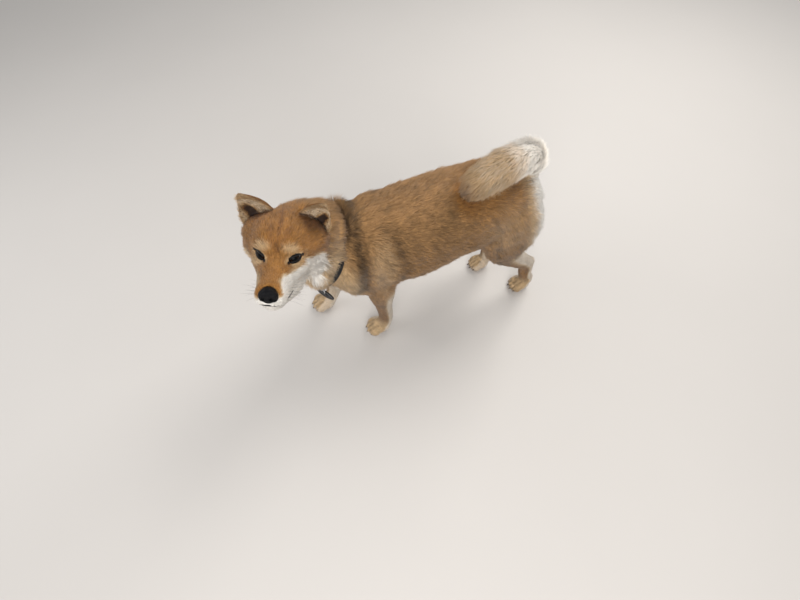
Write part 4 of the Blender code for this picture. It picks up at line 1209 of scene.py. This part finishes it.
class DOG_OT_coat(bpy.types.Operator):
    """The coat in tufts over the skin, one piece for each region"""

    bl_idname = "dog.coat"
    bl_label = "Coat"

    def execute(self, context):
        need({"skin", "lips", "tag_place"} <= set(made), "make the skin, the collar and the nose first")
        skin = made["skin"]
        outer = skin["outer"]
        way, sizes = read_lie(outer)
        skin["way"], skin["sizes"], cover = clear_collar(outer, way, sizes, skin["points"])
        near, out = near_eye(outer)
        skin["near"], skin["out"] = np.clip(near, 0, 1), out
        centre = (NOSE[0], NOSE[1] - 0.001, NOSE[2] + 0.001)
        nose = oval(to_head(outer), centre, (0.0138, 0.0095, 0.0100), 0.02)
        lips = near_line(skin["points"], made["lips"])
        skin["near"] = np.maximum(skin["near"], 0.7 * (1 - ease(0.001, 0.004, lips)))
        bare = (near > 1.5) | (nose > 0.5) | (outer[:, 2] < 0.0035) | (lips < 0.0012)
        skin["bare"] = bare.astype(float)
        weigh(skin)
        skin["weight"] *= 1 + 1.6 * cover[skin["corners"][:, 0]]
        centre = outer[skin["corners"]].mean(axis=1)
        names = region_names(centre, tail_share(centre))
        hair = coat_material("hair", 0.58, 0.60)
        each = tuft_total(TUFTS) / skin["weight"].sum()
        for seed, name in enumerate(sorted(set(names))):
            index = np.flatnonzero((names == name) & (skin["weight"] > 0))
            count = int(skin["weight"][index].sum() * each)
            need(20 < count < MOST, f"{name} has {count} tufts")
            obj = tufts(name, skin, index, count, 100 + seed)
            finish_piece(obj, hair, "cream_coat" if name == "coat_feet" else "red_coat")
        return {"FINISHED"}


class DOG_OT_ears(bpy.types.Operator):
    """The ears: thin skin, painted dark in the hollow as painted shade, short hair behind and longer, paler
    hair within
    """

    bl_idname = "dog.ears"
    bl_label = "Ears"

    def execute(self, context):
        own, tree, shader = material("ear skin", 0.55, 0.25)
        # Painted shade: the skin darkens into the ear's hollow, over its own blotches
        hollow = attribute(tree, "hollow").outputs["Fac"]
        blotch = calc(tree, "MULTIPLY_ADD", noise(tree, object_place(tree), 160.0), 0.5, -0.25)
        edge = calc(tree, "ADD", blotch, hollow, clamp=True)
        tinted(tree, shader, edge, (0.210, 0.128, 0.075), (0.030, 0.017, 0.012))
        grained(tree, shader, 900.0, 0.3, 0.4, 0.0004)
        hair = coat_material("ear hair", 0.58, 0.60)
        for side, name in SIDES:
            obj = remeshed(from_bmesh("ear_skin_" + name, merged_copy("ear_" + name)), 0.0009, 4)
            unwrap(obj)
            points, normals = read_points(obj.data)
            base, tip = on_side(EAR_BASE, side), on_side(EAR_TIP, side)
            up, across = unit(tip - base), unit(on_side(EAR_ACROSS, side))
            facing = np.cross(up, across)
            facing *= -np.sign(facing[1])
            obj.data.vertices.foreach_set("co", (points - normals * 0.0007).astype(np.float32).ravel())
            h = to_head(points)
            turned = normals @ np.array(HEAD)[:3, :3]
            rise = (h - base) @ up / np.linalg.norm(tip - base)
            wide = (h - base) @ across / (EAR_HALF_WIDTH * np.clip(1.04 - rise, 0.10, 1.2))
            inside = ease(0.05, 0.45, turned @ facing)
            rim = np.maximum(ease(0.62, 0.92, np.abs(wide)), ease(0.82, 0.95, rise))
            hollow = inside * (1 - ease(0.14, 0.42, np.abs(wide - 0.28))) * ease(0.56, 0.26, rise)
            point_values(obj.data, "hollow", hollow)
            obj.data.shade_smooth()
            finish_piece(obj, own, "red_coat", "ear_" + name)
            masks = np.zeros((len(points), 3))
            # The hair in the hollow is darkened with painted shade through the rust and dark-tip masks
            masks[:, 0] = inside * (1 - 0.5 * rim) * (1 - hollow) * 0.60 + 0.22 * ease(0.70, 0.95, rise)
            masks[:, 1] = 0.46 + 0.22 * rim - 0.36 * inside * (1 - rim) + 0.9 * hollow
            masks[:, 2] = 0.16 + 0.24 * rim * (1 - inside) + 0.84 * hollow
            ear = field(obj, points, normals, masks)
            outward = across[None] * np.sign(wide)[:, None]
            behind = up[None] + outward * 0.35 * rim[:, None]
            within = up[None] * 0.8 - outward * 0.30 + facing[None] * 0.9
            ear["way"] = head_way(unit(behind * (1 - inside[:, None]) + within * inside[:, None]))
            count = len(points)
            ear["sizes"] = np.c_[
                0.0032 + 0.0034 * inside + 0.0006 * rim, 0.13 + 0.10 * inside, np.full(count, 0.00048),
                np.zeros(count),
            ]
            ear["near"], ear["out"] = np.zeros(count), np.zeros((count, 3))
            ear["bare"] = ((hollow > 0.985) | (rise < -0.45)).astype(float)
            weigh(ear)
            index = np.flatnonzero(ear["weight"] > 0)
            coat = tufts("coat_ear_" + name, ear, index, int(tuft_total(EAR_TUFTS)), 300 + side)
            finish_piece(coat, hair, "red_coat")
        return {"FINISHED"}


# Head


def eye_material(side):
    """A dark iris round a black pupil under a clear wet surface."""
    own, tree, shader = material(f"eye {'left' if side > 0 else 'right'}", 0.10, 0.05)
    gaze = unit(head_way(on_side(PUPIL_GAZE, side)))
    pupil = in_head(on_side(EYE, side)) + gaze * EYE_RADIUS * 1.06
    gap = tree.nodes.new("ShaderNodeVectorMath")
    gap.operation = "DISTANCE"
    tree.links.new(object_place(tree), gap.inputs[0])
    gap.inputs[1].default_value = pupil
    rays = noise(tree, object_place(tree), 900.0, 4.0)
    ring = tree.nodes.new("ShaderNodeValToRGB")
    tree.links.new(calc(tree, "MULTIPLY", gap.outputs["Value"], 100.0), ring.inputs[0])
    ramp = ring.color_ramp
    for element, place in zip(ramp.elements, (0.0, 0.36)):
        element.position, element.color = place, (0.002, 0.002, 0.002, 1)
    for place, colour in (
        (0.42, (0.008, 0.004, 0.002, 1)), (0.62, (0.016, 0.007, 0.003, 1)),
        (0.72, (0.004, 0.003, 0.002, 1)), (0.80, (0.010, 0.008, 0.007, 1)), (0.97, (0.12, 0.10, 0.09, 1)),
    ):
        ramp.elements.new(place).color = colour
    value = calc(tree, "MULTIPLY_ADD", rays, 0.8, 0.6)
    tree.links.new(toned(tree, ring.outputs[0], value), shader.inputs["Base Color"])
    shader.inputs["Coat Weight"].default_value = 0.14
    shader.inputs["Coat Roughness"].default_value = 0.02
    shader.inputs["Coat IOR"].default_value = 1.33
    return own


def lid_mesh(side, skin):
    """The dark rim of an eye: a bead along an almond, on the eyeball and at its corners on the skin."""
    centre, gaze, right, up = eye_frame(side)
    inner = -side
    loops = []
    mesh = bmesh.new()
    count, ring = 48, 10
    for k in range(count):
        a = 2 * math.pi * k / count
        u, v = math.cos(a), math.sin(a)
        high = 0.0044 if v > 0 else 0.0035
        x = 0.0114 * u + 0.0006 * ease(0.7, 1.0, abs(u)) * math.copysign(1, u)
        y = high * math.copysign(abs(v) ** 1.3, v)
        if u * inner > 0.7:
            x += inner * 0.0012 * ease(0.7, 1.0, u * inner)
            y -= 0.0007 * ease(0.7, 1.0, u * inner)
        radius = EYE_RADIUS + 0.0001
        flat = min(math.hypot(x, y) / radius, 0.97)
        deep = radius * math.sqrt(1 - flat * flat)
        over = centre + right * x + up * y
        hit = skin.ray_cast(Vector(over + gaze * 0.03), Vector(-gaze), 0.04)
        if hit[0] is not None:
            deep = max(deep, min(float((np.array(hit[0]) - centre) @ gaze) + 0.0003, radius))
        middle = over + gaze * deep
        outward = unit(right * u * 0.6 + up * v + gaze * 0.001)
        lean = unit(middle - centre)
        thick = (0.00120 if v > 0 else 0.00095) * (1.25 if v > 0.5 else 1.0)
        points = []
        for i in range(ring):
            b = 2 * math.pi * i / ring
            place = middle + outward * thick * 1.5 * math.cos(b) + lean * thick * math.sin(b)
            points.append(mesh.verts.new(place))
        loops.append(points)
    return join_rings(mesh, loops)


class DOG_OT_eyes(bpy.types.Operator):
    """Eyeballs with a raised cornea, and the dark rims of the lids"""

    bl_idname = "dog.eyes"
    bl_label = "Eyes"

    def execute(self, context):
        rim, tree, shader = material("lid rim", 0.42, 0.20, (0.005, 0.004, 0.004))
        grained(tree, shader, 1500.0, 0.3, 0.4, 0.0003)
        need("skin" in made, "make the skin first")
        skin = BVHTree.FromObject(made["skin"]["object"], bpy.context.evaluated_depsgraph_get())
        for side, name in SIDES:
            mesh = bmesh.new()
            bmesh.ops.create_uvsphere(mesh, u_segments=48, v_segments=32, radius=EYE_RADIUS)
            gaze = Vector(unit(head_way(on_side(PUPIL_GAZE, side))))
            turn = gaze.to_track_quat("Z", "Y").to_matrix().to_4x4()
            for v in mesh.verts:
                rise = max(v.co.z / EYE_RADIUS - 0.80, 0) / 0.20
                v.co.z += 0.0009 * rise * rise * (3 - 2 * rise)
            mesh.transform(Matrix.Translation(Vector(in_head(on_side(EYE, side)))) @ turn)
            finish_piece(from_bmesh("eyeball_" + name, mesh), eye_material(side), "dark_eye", "eye_" + name)
            finish_piece(from_bmesh("lids_" + name, lid_mesh(side, skin)), rim, "nose_leather")
        return {"FINISHED"}


class DOG_OT_nose(bpy.types.Operator):
    """The nose leather and the dark line of the lips"""

    bl_idname = "dog.nose"
    bl_label = "Nose and lips"

    def execute(self, context):
        need("skin" in made, "make the skin first")
        nose = remeshed(from_bmesh("nose_leather", merged_copy("nose")), 0.00055, 5)
        leather, tree, shader = material("nose leather", 0.36, 0.10, (0.004, 0.004, 0.005))
        grained(tree, shader, 1100.0, 0.85, 0.55, 0.0004)
        tinted(tree, shader, rubbed(tree, 260.0, 0.25), (0.004, 0.004, 0.005), (0.014, 0.012, 0.012))
        nose.data.shade_smooth()
        finish_piece(nose, leather, "nose_leather", "nose")
        rim, tree, shader = material("lip skin", 0.45, 0.5, (0.014, 0.010, 0.010))
        grained(tree, shader, 1300.0, 0.3, 0.4, 0.0003)
        finish_piece(from_bmesh("lips", lip_mesh()), rim, "nose_leather")
        return {"FINISHED"}


def lip_mesh():
    """The dark line of the lips, laid on the muzzle from one corner of the mouth to the other."""
    skin = made["skin"]["object"]
    tree = BVHTree.FromObject(skin, bpy.context.evaluated_depsgraph_get())
    path = []
    turns, levels = (0, 20, 50, 80, 112), (-0.0395, -0.0405, -0.0435, -0.0455, -0.0425)
    for k in range(41):
        turn = 112.0 * (k / 20 - 1)
        level = float(np.interp(abs(turn), turns, levels))
        way = Vector((-math.sin(math.radians(turn)), math.cos(math.radians(turn)), 0))
        start = HEAD @ (Vector((0, -0.070, level)) - way * 0.08)
        hit = tree.ray_cast(start, (HEAD.to_3x3() @ way))
        need(hit[0] is not None, "the line of the lips misses the muzzle")
        path.append(np.array(hit[0]) + np.array(hit[1]) * 0.0005)
    path = np.array(path)
    for _ in range(3):
        path[1:-1] = (path[:-2] + 2 * path[1:-1] + path[2:]) / 4
    made["lips"] = path
    radii = 0.0012 * (1 - 0.65 * np.abs(np.linspace(-1, 1, len(path))) ** 3)
    return tube(path, radii, 8, head_way((0, 0, 1)))


class DOG_OT_claws(bpy.types.Operator):
    """Four dark curved claws on each foot"""

    bl_idname = "dog.claws"
    bl_label = "Claws"

    def execute(self, context):
        horn, tree, shader = material("claw horn", 0.35, 0.5)
        streak = noise(tree, object_place(tree), 700.0, 4.0)
        tinted(tree, shader, streak, (0.030, 0.022, 0.018), (0.10, 0.075, 0.058))
        grained(tree, shader, 1500.0, 0.1, 0.3, 0.0002)
        whole = bmesh.new()
        for x, y, size in FEET:
            for across, ahead in TOES:
                toe_y = y - ahead * size
                rows = smooth_path([
                    (x + across * size, toe_y - 0.0070, 0.0120, 0.0018),
                    (x + across * 1.05 * size, toe_y - 0.0112, 0.0100, 0.0015),
                    (x + across * 1.09 * size, toe_y - 0.0134, 0.0074, 0.0010),
                    (x + across * 1.10 * size, toe_y - 0.0141, 0.0050, 0.0003),
                ], 10)
                pour(whole, tube(stood(rows[:, :3]), rows[:, 3], 10, (1, 0, 0), 1.15))
        finish_piece(from_bmesh("claws", whole), horn, "nose_leather")
        return {"FINISHED"}


# Geometry Nodes


def whisker_shape(tree, read):
    """A cone that bends with the square of its height."""
    join = tree.links.new
    cone = tree.nodes.new("GeometryNodeMeshCone")
    cone.inputs["Vertices"].default_value = 6
    cone.inputs["Side Segments"].default_value = 6
    cone.inputs["Radius Top"].default_value = 0.00004
    join(read.outputs["Width"], cone.inputs["Radius Bottom"])
    join(read.outputs["Length"], cone.inputs["Depth"])
    split = tree.nodes.new("ShaderNodeSeparateXYZ")
    join(tree.nodes.new("GeometryNodeInputPosition").outputs[0], split.inputs[0])
    square = calc(tree, "POWER", split.outputs[2], 2.0)
    offset = tree.nodes.new("ShaderNodeCombineXYZ")
    join(calc(tree, "MULTIPLY", square, read.outputs["Bend"]), offset.inputs[0])
    bend = tree.nodes.new("GeometryNodeSetPosition")
    join(cone.outputs[0], bend.inputs["Geometry"])
    join(offset.outputs[0], bend.inputs["Offset"])
    return bend.outputs[0]


def stitch_shape(tree, read):
    """A block as long as Length and as wide and high as Width."""
    block = tree.nodes.new("GeometryNodeMeshCube")
    size = tree.nodes.new("ShaderNodeCombineXYZ")
    for socket, label in zip(size.inputs, ("Length", "Width", "Width")):
        tree.links.new(read.outputs[label], socket)
    tree.links.new(size.outputs[0], block.inputs["Size"])
    return block.outputs[0]


def instancer(name, kind):
    """A node tree that sets whiskers or stitches on points that carry an aim and a lean."""
    tree = bpy.data.node_groups.new(name, "GeometryNodeTree")
    face = tree.interface
    face.new_socket("Geometry", in_out="INPUT", socket_type="NodeSocketGeometry")
    sizes = {}
    for label, socket_kind, value in (
        ("Length", "Float", 0.03), ("Width", "Float", 0.0003), ("Bend", "Float", 0.2),
        ("Variation", "Float", 0.3), ("Seed", "Int", None), ("Material", "Material", None),
    ):
        socket = face.new_socket(label, in_out="INPUT", socket_type="NodeSocket" + socket_kind)
        sizes[label] = socket.identifier
        if value is not None:
            socket.default_value = value
    face.new_socket("Geometry", in_out="OUTPUT", socket_type="NodeSocketGeometry")
    new, join = tree.nodes.new, tree.links.new
    read, write = new("NodeGroupInput"), new("NodeGroupOutput")
    piece = (whisker_shape if kind == "whisker" else stitch_shape)(tree, read)
    turned = []
    for label, axis in (("aim", "Z"), ("lean", "X")):
        stored = new("GeometryNodeInputNamedAttribute")
        stored.data_type = "FLOAT_VECTOR"
        stored.inputs[0].default_value = label
        turn = new("FunctionNodeAlignRotationToVector")
        turn.axis = axis
        join(stored.outputs[0], turn.inputs["Vector"])
        turned.append(turn)
    turned[1].pivot_axis = "Z"
    join(turned[0].outputs[0], turned[1].inputs["Rotation"])
    vary = new("FunctionNodeRandomValue")
    vary.data_type = "FLOAT"
    join(calc(tree, "SUBTRACT", 1.0, read.outputs["Variation"]), vary.inputs[2])
    vary.inputs[3].default_value = 1.0
    join(read.outputs["Seed"], vary.inputs["Seed"])
    scale = new("ShaderNodeCombineXYZ")
    for socket in scale.inputs:
        socket.default_value = 1.0
    join(vary.outputs[1], scale.inputs[2 if kind == "whisker" else 0])
    spread = new("GeometryNodeInstanceOnPoints")
    join(read.outputs["Geometry"], spread.inputs["Points"])
    join(piece, spread.inputs["Instance"])
    join(turned[1].outputs[0], spread.inputs["Rotation"])
    join(scale.outputs[0], spread.inputs["Scale"])
    real = new("GeometryNodeRealizeInstances")
    join(spread.outputs[0], real.inputs[0])
    paint = new("GeometryNodeSetMaterial")
    join(real.outputs[0], paint.inputs["Geometry"])
    join(read.outputs["Material"], paint.inputs["Material"])
    join(paint.outputs[0], write.inputs[0])
    return tree, sizes


def spread_pieces(name, kind, roots, aims, leans, own, **values):
    """Plain mesh of pieces set on roots by Geometry Nodes."""
    mesh = bpy.data.meshes.new(name)
    mesh.from_pydata([tuple(r) for r in roots], [], [])
    obj = link(bpy.data.objects.new(name, mesh))
    point_values(mesh, "aim", np.asarray(aims, float))
    point_values(mesh, "lean", np.asarray(leans, float))
    tree, sockets = instancer(name + " nodes", kind)
    modifier = obj.modifiers.new("Pieces", "NODES")
    modifier.node_group = tree
    modifier[sockets["Material"]] = own
    for label, value in values.items():
        modifier[sockets[label]] = value
    return evaluated(obj)


class DOG_OT_whiskers(bpy.types.Operator):
    """Whiskers on both sides of the muzzle and over the eyes"""

    bl_idname = "dog.whiskers"
    bl_label = "Whiskers"

    def execute(self, context):
        need("skin" in made, "make the skin first")
        skin = BVHTree.FromObject(made["skin"]["object"], bpy.context.evaluated_depsgraph_get())
        rng = np.random.default_rng(17)
        roots, aims, leans = [], [], []

        def root_found(place, way):
            hit = skin.ray_cast(HEAD @ Vector(place), HEAD.to_3x3() @ Vector(way))
            if hit[0] is not None:
                roots.append(np.array(hit[0]) - np.array(hit[1]) * 0.0004)
            return hit[0] is not None

        for side in (1, -1):
            for row in range(3):
                for k in range(4):
                    y = -0.094 + 0.0085 * k + rng.uniform(-0.001, 0.001)
                    z = -0.0290 - 0.0048 * row + rng.uniform(-0.0008, 0.0008)
                    if root_found((side * 0.08, y, z), (-side, 0, 0)):
                        drop = -0.10 - 0.16 * row + rng.uniform(-0.1, 0.1)
                        aims.append(unit(head_way((side * 0.85, 0.42 + 0.1 * k, drop))))
                        leans.append(unit(head_way((0, 0.4, -1))))
            for k in range(2):
                if root_found((side * (0.017 + 0.004 * k), -0.10, 0.019), (0, 1, 0)):
                    aims.append(unit(head_way((side * 0.4, -0.35, 0.85))))
                    leans.append(unit(head_way((side, 0.6, 0))))
        own, tree, shader = material("whisker", 0.35, 0.5)
        streak = noise(tree, object_place(tree), 150.0)
        tinted(tree, shader, streak, (0.012, 0.010, 0.009), (0.07, 0.055, 0.045))
        obj = spread_pieces(
            "whiskers", "whisker", roots, aims, leans, own, Length=settings().whisker_length,
            Width=0.00011, Bend=4.5, Variation=0.45, Seed=3,
        )
        obj.data.shade_smooth()
        finish_piece(obj, own, "nose_leather")
        return {"FINISHED"}


# Collar


def collar_frame():
    """The sideways and upward ways of the collar's oval."""
    up = Vector((0, 0, 1)) - COLLAR_FACING * COLLAR_FACING.z
    up.normalize()
    return up.cross(COLLAR_FACING), up


def collar_point(angle, out, level):
    """A point on the collar: angle round it, how far out from its inside and along its height."""
    side, up = collar_frame()
    across, over = math.cos(angle), math.sin(angle)
    out -= 0.0030 * (1 - float(ease(-0.40, -0.66, over) * ease(0.1, 0.4, across)))
    out -= 0.0030 * (1 - float(lower_part(across, over)))
    x, y = (COLLAR_HALF[0] + out) * across, (COLLAR_HALF[1] + out) * over
    return COLLAR_MIDDLE + side * x + up * y + COLLAR_FACING * level


def ring_mesh(middle, facing, radius, steps=48, sides=12):
    """A ring of wire round a middle."""
    facing = facing.normalized()
    side = facing.orthogonal().normalized()
    up = facing.cross(side)
    mesh = bmesh.new()
    loops = []
    for k in range(steps):
        a = 2 * math.pi * k / steps
        out = side * math.cos(a) + up * math.sin(a)
        loop = []
        for i in range(sides):
            b = 2 * math.pi * i / sides
            place = middle + out * (radius + WIRE * math.cos(b)) + facing * WIRE * math.sin(b)
            loop.append(mesh.verts.new(place))
        loops.append(loop)
    return join_rings(mesh, loops)


class DOG_OT_collar(bpy.types.Operator):
    """The woven collar with its stitches, lug, split ring and oval tag"""

    bl_idname = "dog.collar"
    bl_label = "Collar"

    def execute(self, context):
        self.strap()
        down = Vector((0, 0, -1))
        lowest = (down - COLLAR_FACING * down.dot(COLLAR_FACING)).normalized()
        left = COLLAR_FACING.cross(lowest)
        angle = math.radians(38.0)
        outward = lowest * math.cos(angle) + left * math.sin(angle)
        facing = Vector((0.66, -0.74, 0.0)).normalized()
        across = facing.cross(down)
        lug = COLLAR_MIDDLE + outward * (COLLAR_HALF[1] + COLLAR_THICK + LUG_RADIUS - 0.0012)
        steel, tree, shader = material("bright steel", 0.22, 0.5, (0.62, 0.62, 0.62))
        shader.inputs["Metallic"].default_value = 1.0
        rough = calc(tree, "MULTIPLY_ADD", rubbed(tree, 500.0, 0.6), 0.25, 0.18)
        tree.links.new(rough, shader.inputs["Roughness"])
        lug_mesh = ring_mesh(lug, outward.cross(COLLAR_FACING), LUG_RADIUS, 36, 10)
        finish_piece(from_bmesh("collar_lug", lug_mesh), steel, "ring_steel")
        middle = lug + down * RING_RADIUS
        turn = math.radians(-48.0)
        ring = ring_mesh(middle, across * math.cos(turn) + facing * math.sin(turn), RING_RADIUS)
        finish_piece(from_bmesh("split_ring", ring), steel, "ring_steel", "collar_ring")
        self.tag(middle + down * RING_RADIUS, facing)
        return {"FINISHED"}

    def strap(self):
        """A band with rounded edges that follows the collar's oval."""
        steps, high = 120, settings().band / 2
        profile = [
            (0.0, -high + 0.0006), (0.0006, -high), (0.0020, -high), (0.0026, -high + 0.0006),
            (0.0028, 0.0), (0.0026, high - 0.0006), (0.0020, high), (0.0006, high), (0.0, high - 0.0006),
        ]
        mesh = bmesh.new()
        layer = mesh.loops.layers.uv.new("weave")
        loops = []
        for k in range(steps):
            a = 2 * math.pi * k / steps
            loops.append([mesh.verts.new(collar_point(a, out, level)) for out, level in profile])
        for k in range(steps):
            one, two = loops[k], loops[(k + 1) % steps]
            for i in range(len(profile)):
                j = (i + 1) % len(profile)
                quad = mesh.faces.new((one[i], one[j], two[j], two[i]))
                for corner, (u, v) in zip(quad.loops, ((k, i), (k, i + 1), (k + 1, i + 1), (k + 1, i))):
                    corner[layer].uv = (u / steps * 0.42, v / len(profile) * 0.022)
        bmesh.ops.recalc_face_normals(mesh, faces=mesh.faces)
        obj = from_bmesh("strap", mesh)
        own, tree, shader = material("woven strap", 0.75, 0.3, (0.012, 0.011, 0.011))
        uv = tree.nodes.new("ShaderNodeUVMap")
        uv.uv_map = "weave"
        waves = []
        for way, scale in (("X", 380.0), ("Y", 600.0)):
            wave = tree.nodes.new("ShaderNodeTexWave")
            wave.bands_direction = way
            wave.inputs["Scale"].default_value = scale
            wave.inputs["Distortion"].default_value = 0.4
            tree.links.new(uv.outputs[0], wave.inputs["Vector"])
            waves.append(wave.outputs["Fac"])
        weave = calc(tree, "MULTIPLY", *waves)
        bumped(tree, shader, weave, 0.8, 0.0004)
        fade = calc(tree, "MULTIPLY_ADD", weave, 0.35, rubbed(tree, 180.0, 0.5), clamp=True)
        tinted(tree, shader, fade, (0.008, 0.008, 0.008), (0.045, 0.042, 0.042))
        finish_piece(obj, own, "black_strap", "collar")
        roots, aims, leans = [], [], []
        count = settings().stitches
        for level in (-high + 0.0018, high - 0.0018):
            for k in range(count):
                a = 2 * math.pi * (k + 0.5) / count
                here, then = collar_point(a, 0.00278, level), collar_point(a + 0.01, 0.00278, level)
                roots.append(here)
                aims.append((here - COLLAR_MIDDLE - COLLAR_FACING * level).normalized())
                leans.append((then - here).normalized())
        thread, tree, shader = material("thread", 0.7, 0.3)
        streak = noise(tree, object_place(tree), 400.0)
        tinted(tree, shader, streak, (0.020, 0.020, 0.020), (0.075, 0.072, 0.070))
        stitches = spread_pieces(
            "collar_stitches", "stitch", roots, aims, leans, thread,
            Length=0.0024, Width=0.0005, Bend=0.0, Variation=0.12, Seed=5,
        )
        finish_piece(stitches, thread, "black_strap")

    def tag(self, hole, facing):
        """An oval plate with rounded edges, a hole for the ring and a shallow raised rim."""
        up = Vector((0, 0, 1))
        middle = hole - up * (TAG_HALF[1] - 0.0042)
        made["tag_place"] = middle
        side = up.cross(facing).normalized()
        rows = [
            (-1.1, 0.90), (-1.1, 0.955), (-0.85, 0.99), (0.0, 1.0), (0.85, 0.99), (1.1, 0.955),
            (1.1, 0.90), (0.85, 0.86), (0.85, 0.55),
        ]
        steps = 64
        mesh = bmesh.new()
        loops = []
        for level, share in rows:
            loop = []
            for k in range(steps):
                a = 2 * math.pi * k / steps
                across = TAG_HALF[0] * share * math.cos(a)
                over = TAG_HALF[1] * share * math.sin(a)
                loop.append(mesh.verts.new(middle + side * across + up * over + facing * level * 0.001))
            loops.append(loop)
        plate = from_bmesh("oval_tag", join_rings(mesh, loops, (loops[0], loops[-1][::-1])))
        path = [hole - facing * 0.004, hole, hole + facing * 0.004]
        cut = tube(path, np.full(3, TAG_HOLE), 32, (0, 0, 1))
        cutter = from_bmesh("hole", cut)
        drill = plate.modifiers.new("Hole", "BOOLEAN")
        drill.operation = "DIFFERENCE"
        drill.solver = "EXACT"
        drill.object = cutter
        evaluated(plate)
        bpy.data.objects.remove(cutter)
        own, tree, shader = material("black tag", 0.45, 0.12)
        worn = rubbed(tree, 350.0, 0.55)
        tinted(tree, shader, worn, (0.006, 0.007, 0.010), (0.040, 0.045, 0.052))
        tree.links.new(calc(tree, "MULTIPLY_ADD", worn, 0.3, 0.3), shader.inputs["Roughness"])
        grained(tree, shader, 900.0, 0.1, 0.25, 0.0002)
        finish_piece(plate, own, "black_tag", "collar_tag")


# Stage


FLOOR_HALF = 6.0
FLOOR_LEVEL = -0.0004
LENS = 18.45
CAMERA_PLACE = (0.4553, -0.1708, 0.86)
CAMERA_RIGHT = Vector((0.28458, 0.95812, -0.03206))
CAMERA_DOWN = Vector((0.83599, -0.26440, -0.48085))
CAMERA_AHEAD = Vector((-0.46919, 0.11004, -0.87622))

# Name, place, size, power and colour
LAMPS = (
    ("window", (-0.7, 1.1, 1.6), 1.0, 27.0, (1.0, 0.98, 0.95)),
    ("room", (1.5, -0.4, 1.2), 1.3, 25.0, (1.0, 0.98, 0.96)),
    ("front", (-0.4, -1.5, 1.1), 1.2, 9.0, (0.97, 0.98, 1.0)),
)


class DOG_OT_stage(bpy.types.Operator):
    """A pale floor, soft studio light and the camera above the dog's left shoulder"""

    bl_idname = "dog.stage"
    bl_label = "Stage"

    def execute(self, context):
        own, tree, shader = material("pale floor", 0.65, 0.3)
        pale = tuple(settings().floor)
        darker = tuple(c * 0.94 for c in pale)
        tinted(tree, shader, noise(tree, object_place(tree), 2.0), darker, pale)
        square = ((-1, -1), (1, -1), (1, 1), (-1, 1))
        corners = [(x * FLOOR_HALF, y * FLOOR_HALF, FLOOR_LEVEL) for x, y in square]
        floor = mesh_object("floor", corners, [(0, 1, 2, 3)], False)
        floor.data.materials.append(own)
        world = bpy.data.worlds.new("studio")
        world.use_nodes = True
        world.node_tree.nodes["Background"].inputs[0].default_value = (0.96, 0.98, 1.0, 1)
        world.node_tree.nodes["Background"].inputs[1].default_value = 0.54
        context.scene.world = world
        for name, place, size, power, colour in LAMPS:
            lamp = bpy.data.lights.new(name, "AREA")
            lamp.energy, lamp.size, lamp.color = power, size, colour
            obj = link(bpy.data.objects.new(name, lamp))
            obj.location = place
            obj.rotation_mode = "QUATERNION"
            obj.rotation_quaternion = (Vector((0, 0, 0.2)) - Vector(place)).to_track_quat("-Z", "Y")
        camera = bpy.data.cameras.new("camera")
        camera.sensor_width = 36.0
        camera.lens = LENS
        camera.clip_start = 0.02
        obj = link(bpy.data.objects.new("camera", camera))
        turn = Matrix((CAMERA_RIGHT, -CAMERA_DOWN, -CAMERA_AHEAD)).transposed().to_4x4()
        obj.matrix_world = Matrix.Translation(Vector(stood(CAMERA_PLACE))) @ turn
        context.scene.camera = obj
        context.scene.view_settings.view_transform = "Standard"
        return {"FINISHED"}


class DOG_PT_panel(bpy.types.Panel):
    """Lists the pieces of the dog"""

    bl_idname = "DOG_PT_panel"
    bl_label = "Dog"
    bl_space_type = "VIEW_3D"
    bl_region_type = "UI"
    bl_category = "Dog"

    def draw(self, context):
        column = self.layout.column()
        for name in DogSettings.__annotations__:
            column.prop(context.scene.dog_settings, name)
        for operator in OPERATORS:
            column.operator(operator.bl_idname)


OPERATORS = (
    DOG_OT_skin, DOG_OT_collar, DOG_OT_nose, DOG_OT_coat, DOG_OT_ears, DOG_OT_eyes, DOG_OT_claws,
    DOG_OT_whiskers, DOG_OT_stage,
)


def register():
    """Adds the settings, the operators and the panel."""
    for kind in (DogSettings, *OPERATORS, DOG_PT_panel):
        bpy.utils.register_class(kind)
    bpy.types.Scene.dog_settings = PointerProperty(type=DogSettings)


def unregister():
    """Takes them out again."""
    del bpy.types.Scene.dog_settings
    for kind in reversed((DogSettings, *OPERATORS, DOG_PT_panel)):
        bpy.utils.unregister_class(kind)


def main():
    """Makes all pieces."""
    register()
    bpy.ops.dog.skin()
    bpy.ops.dog.collar()
    bpy.ops.dog.nose()
    bpy.ops.dog.coat()
    bpy.ops.dog.ears()
    bpy.ops.dog.eyes()
    bpy.ops.dog.claws()
    bpy.ops.dog.whiskers()
    bpy.ops.dog.stage()


if __name__ == "__main__":
    main()
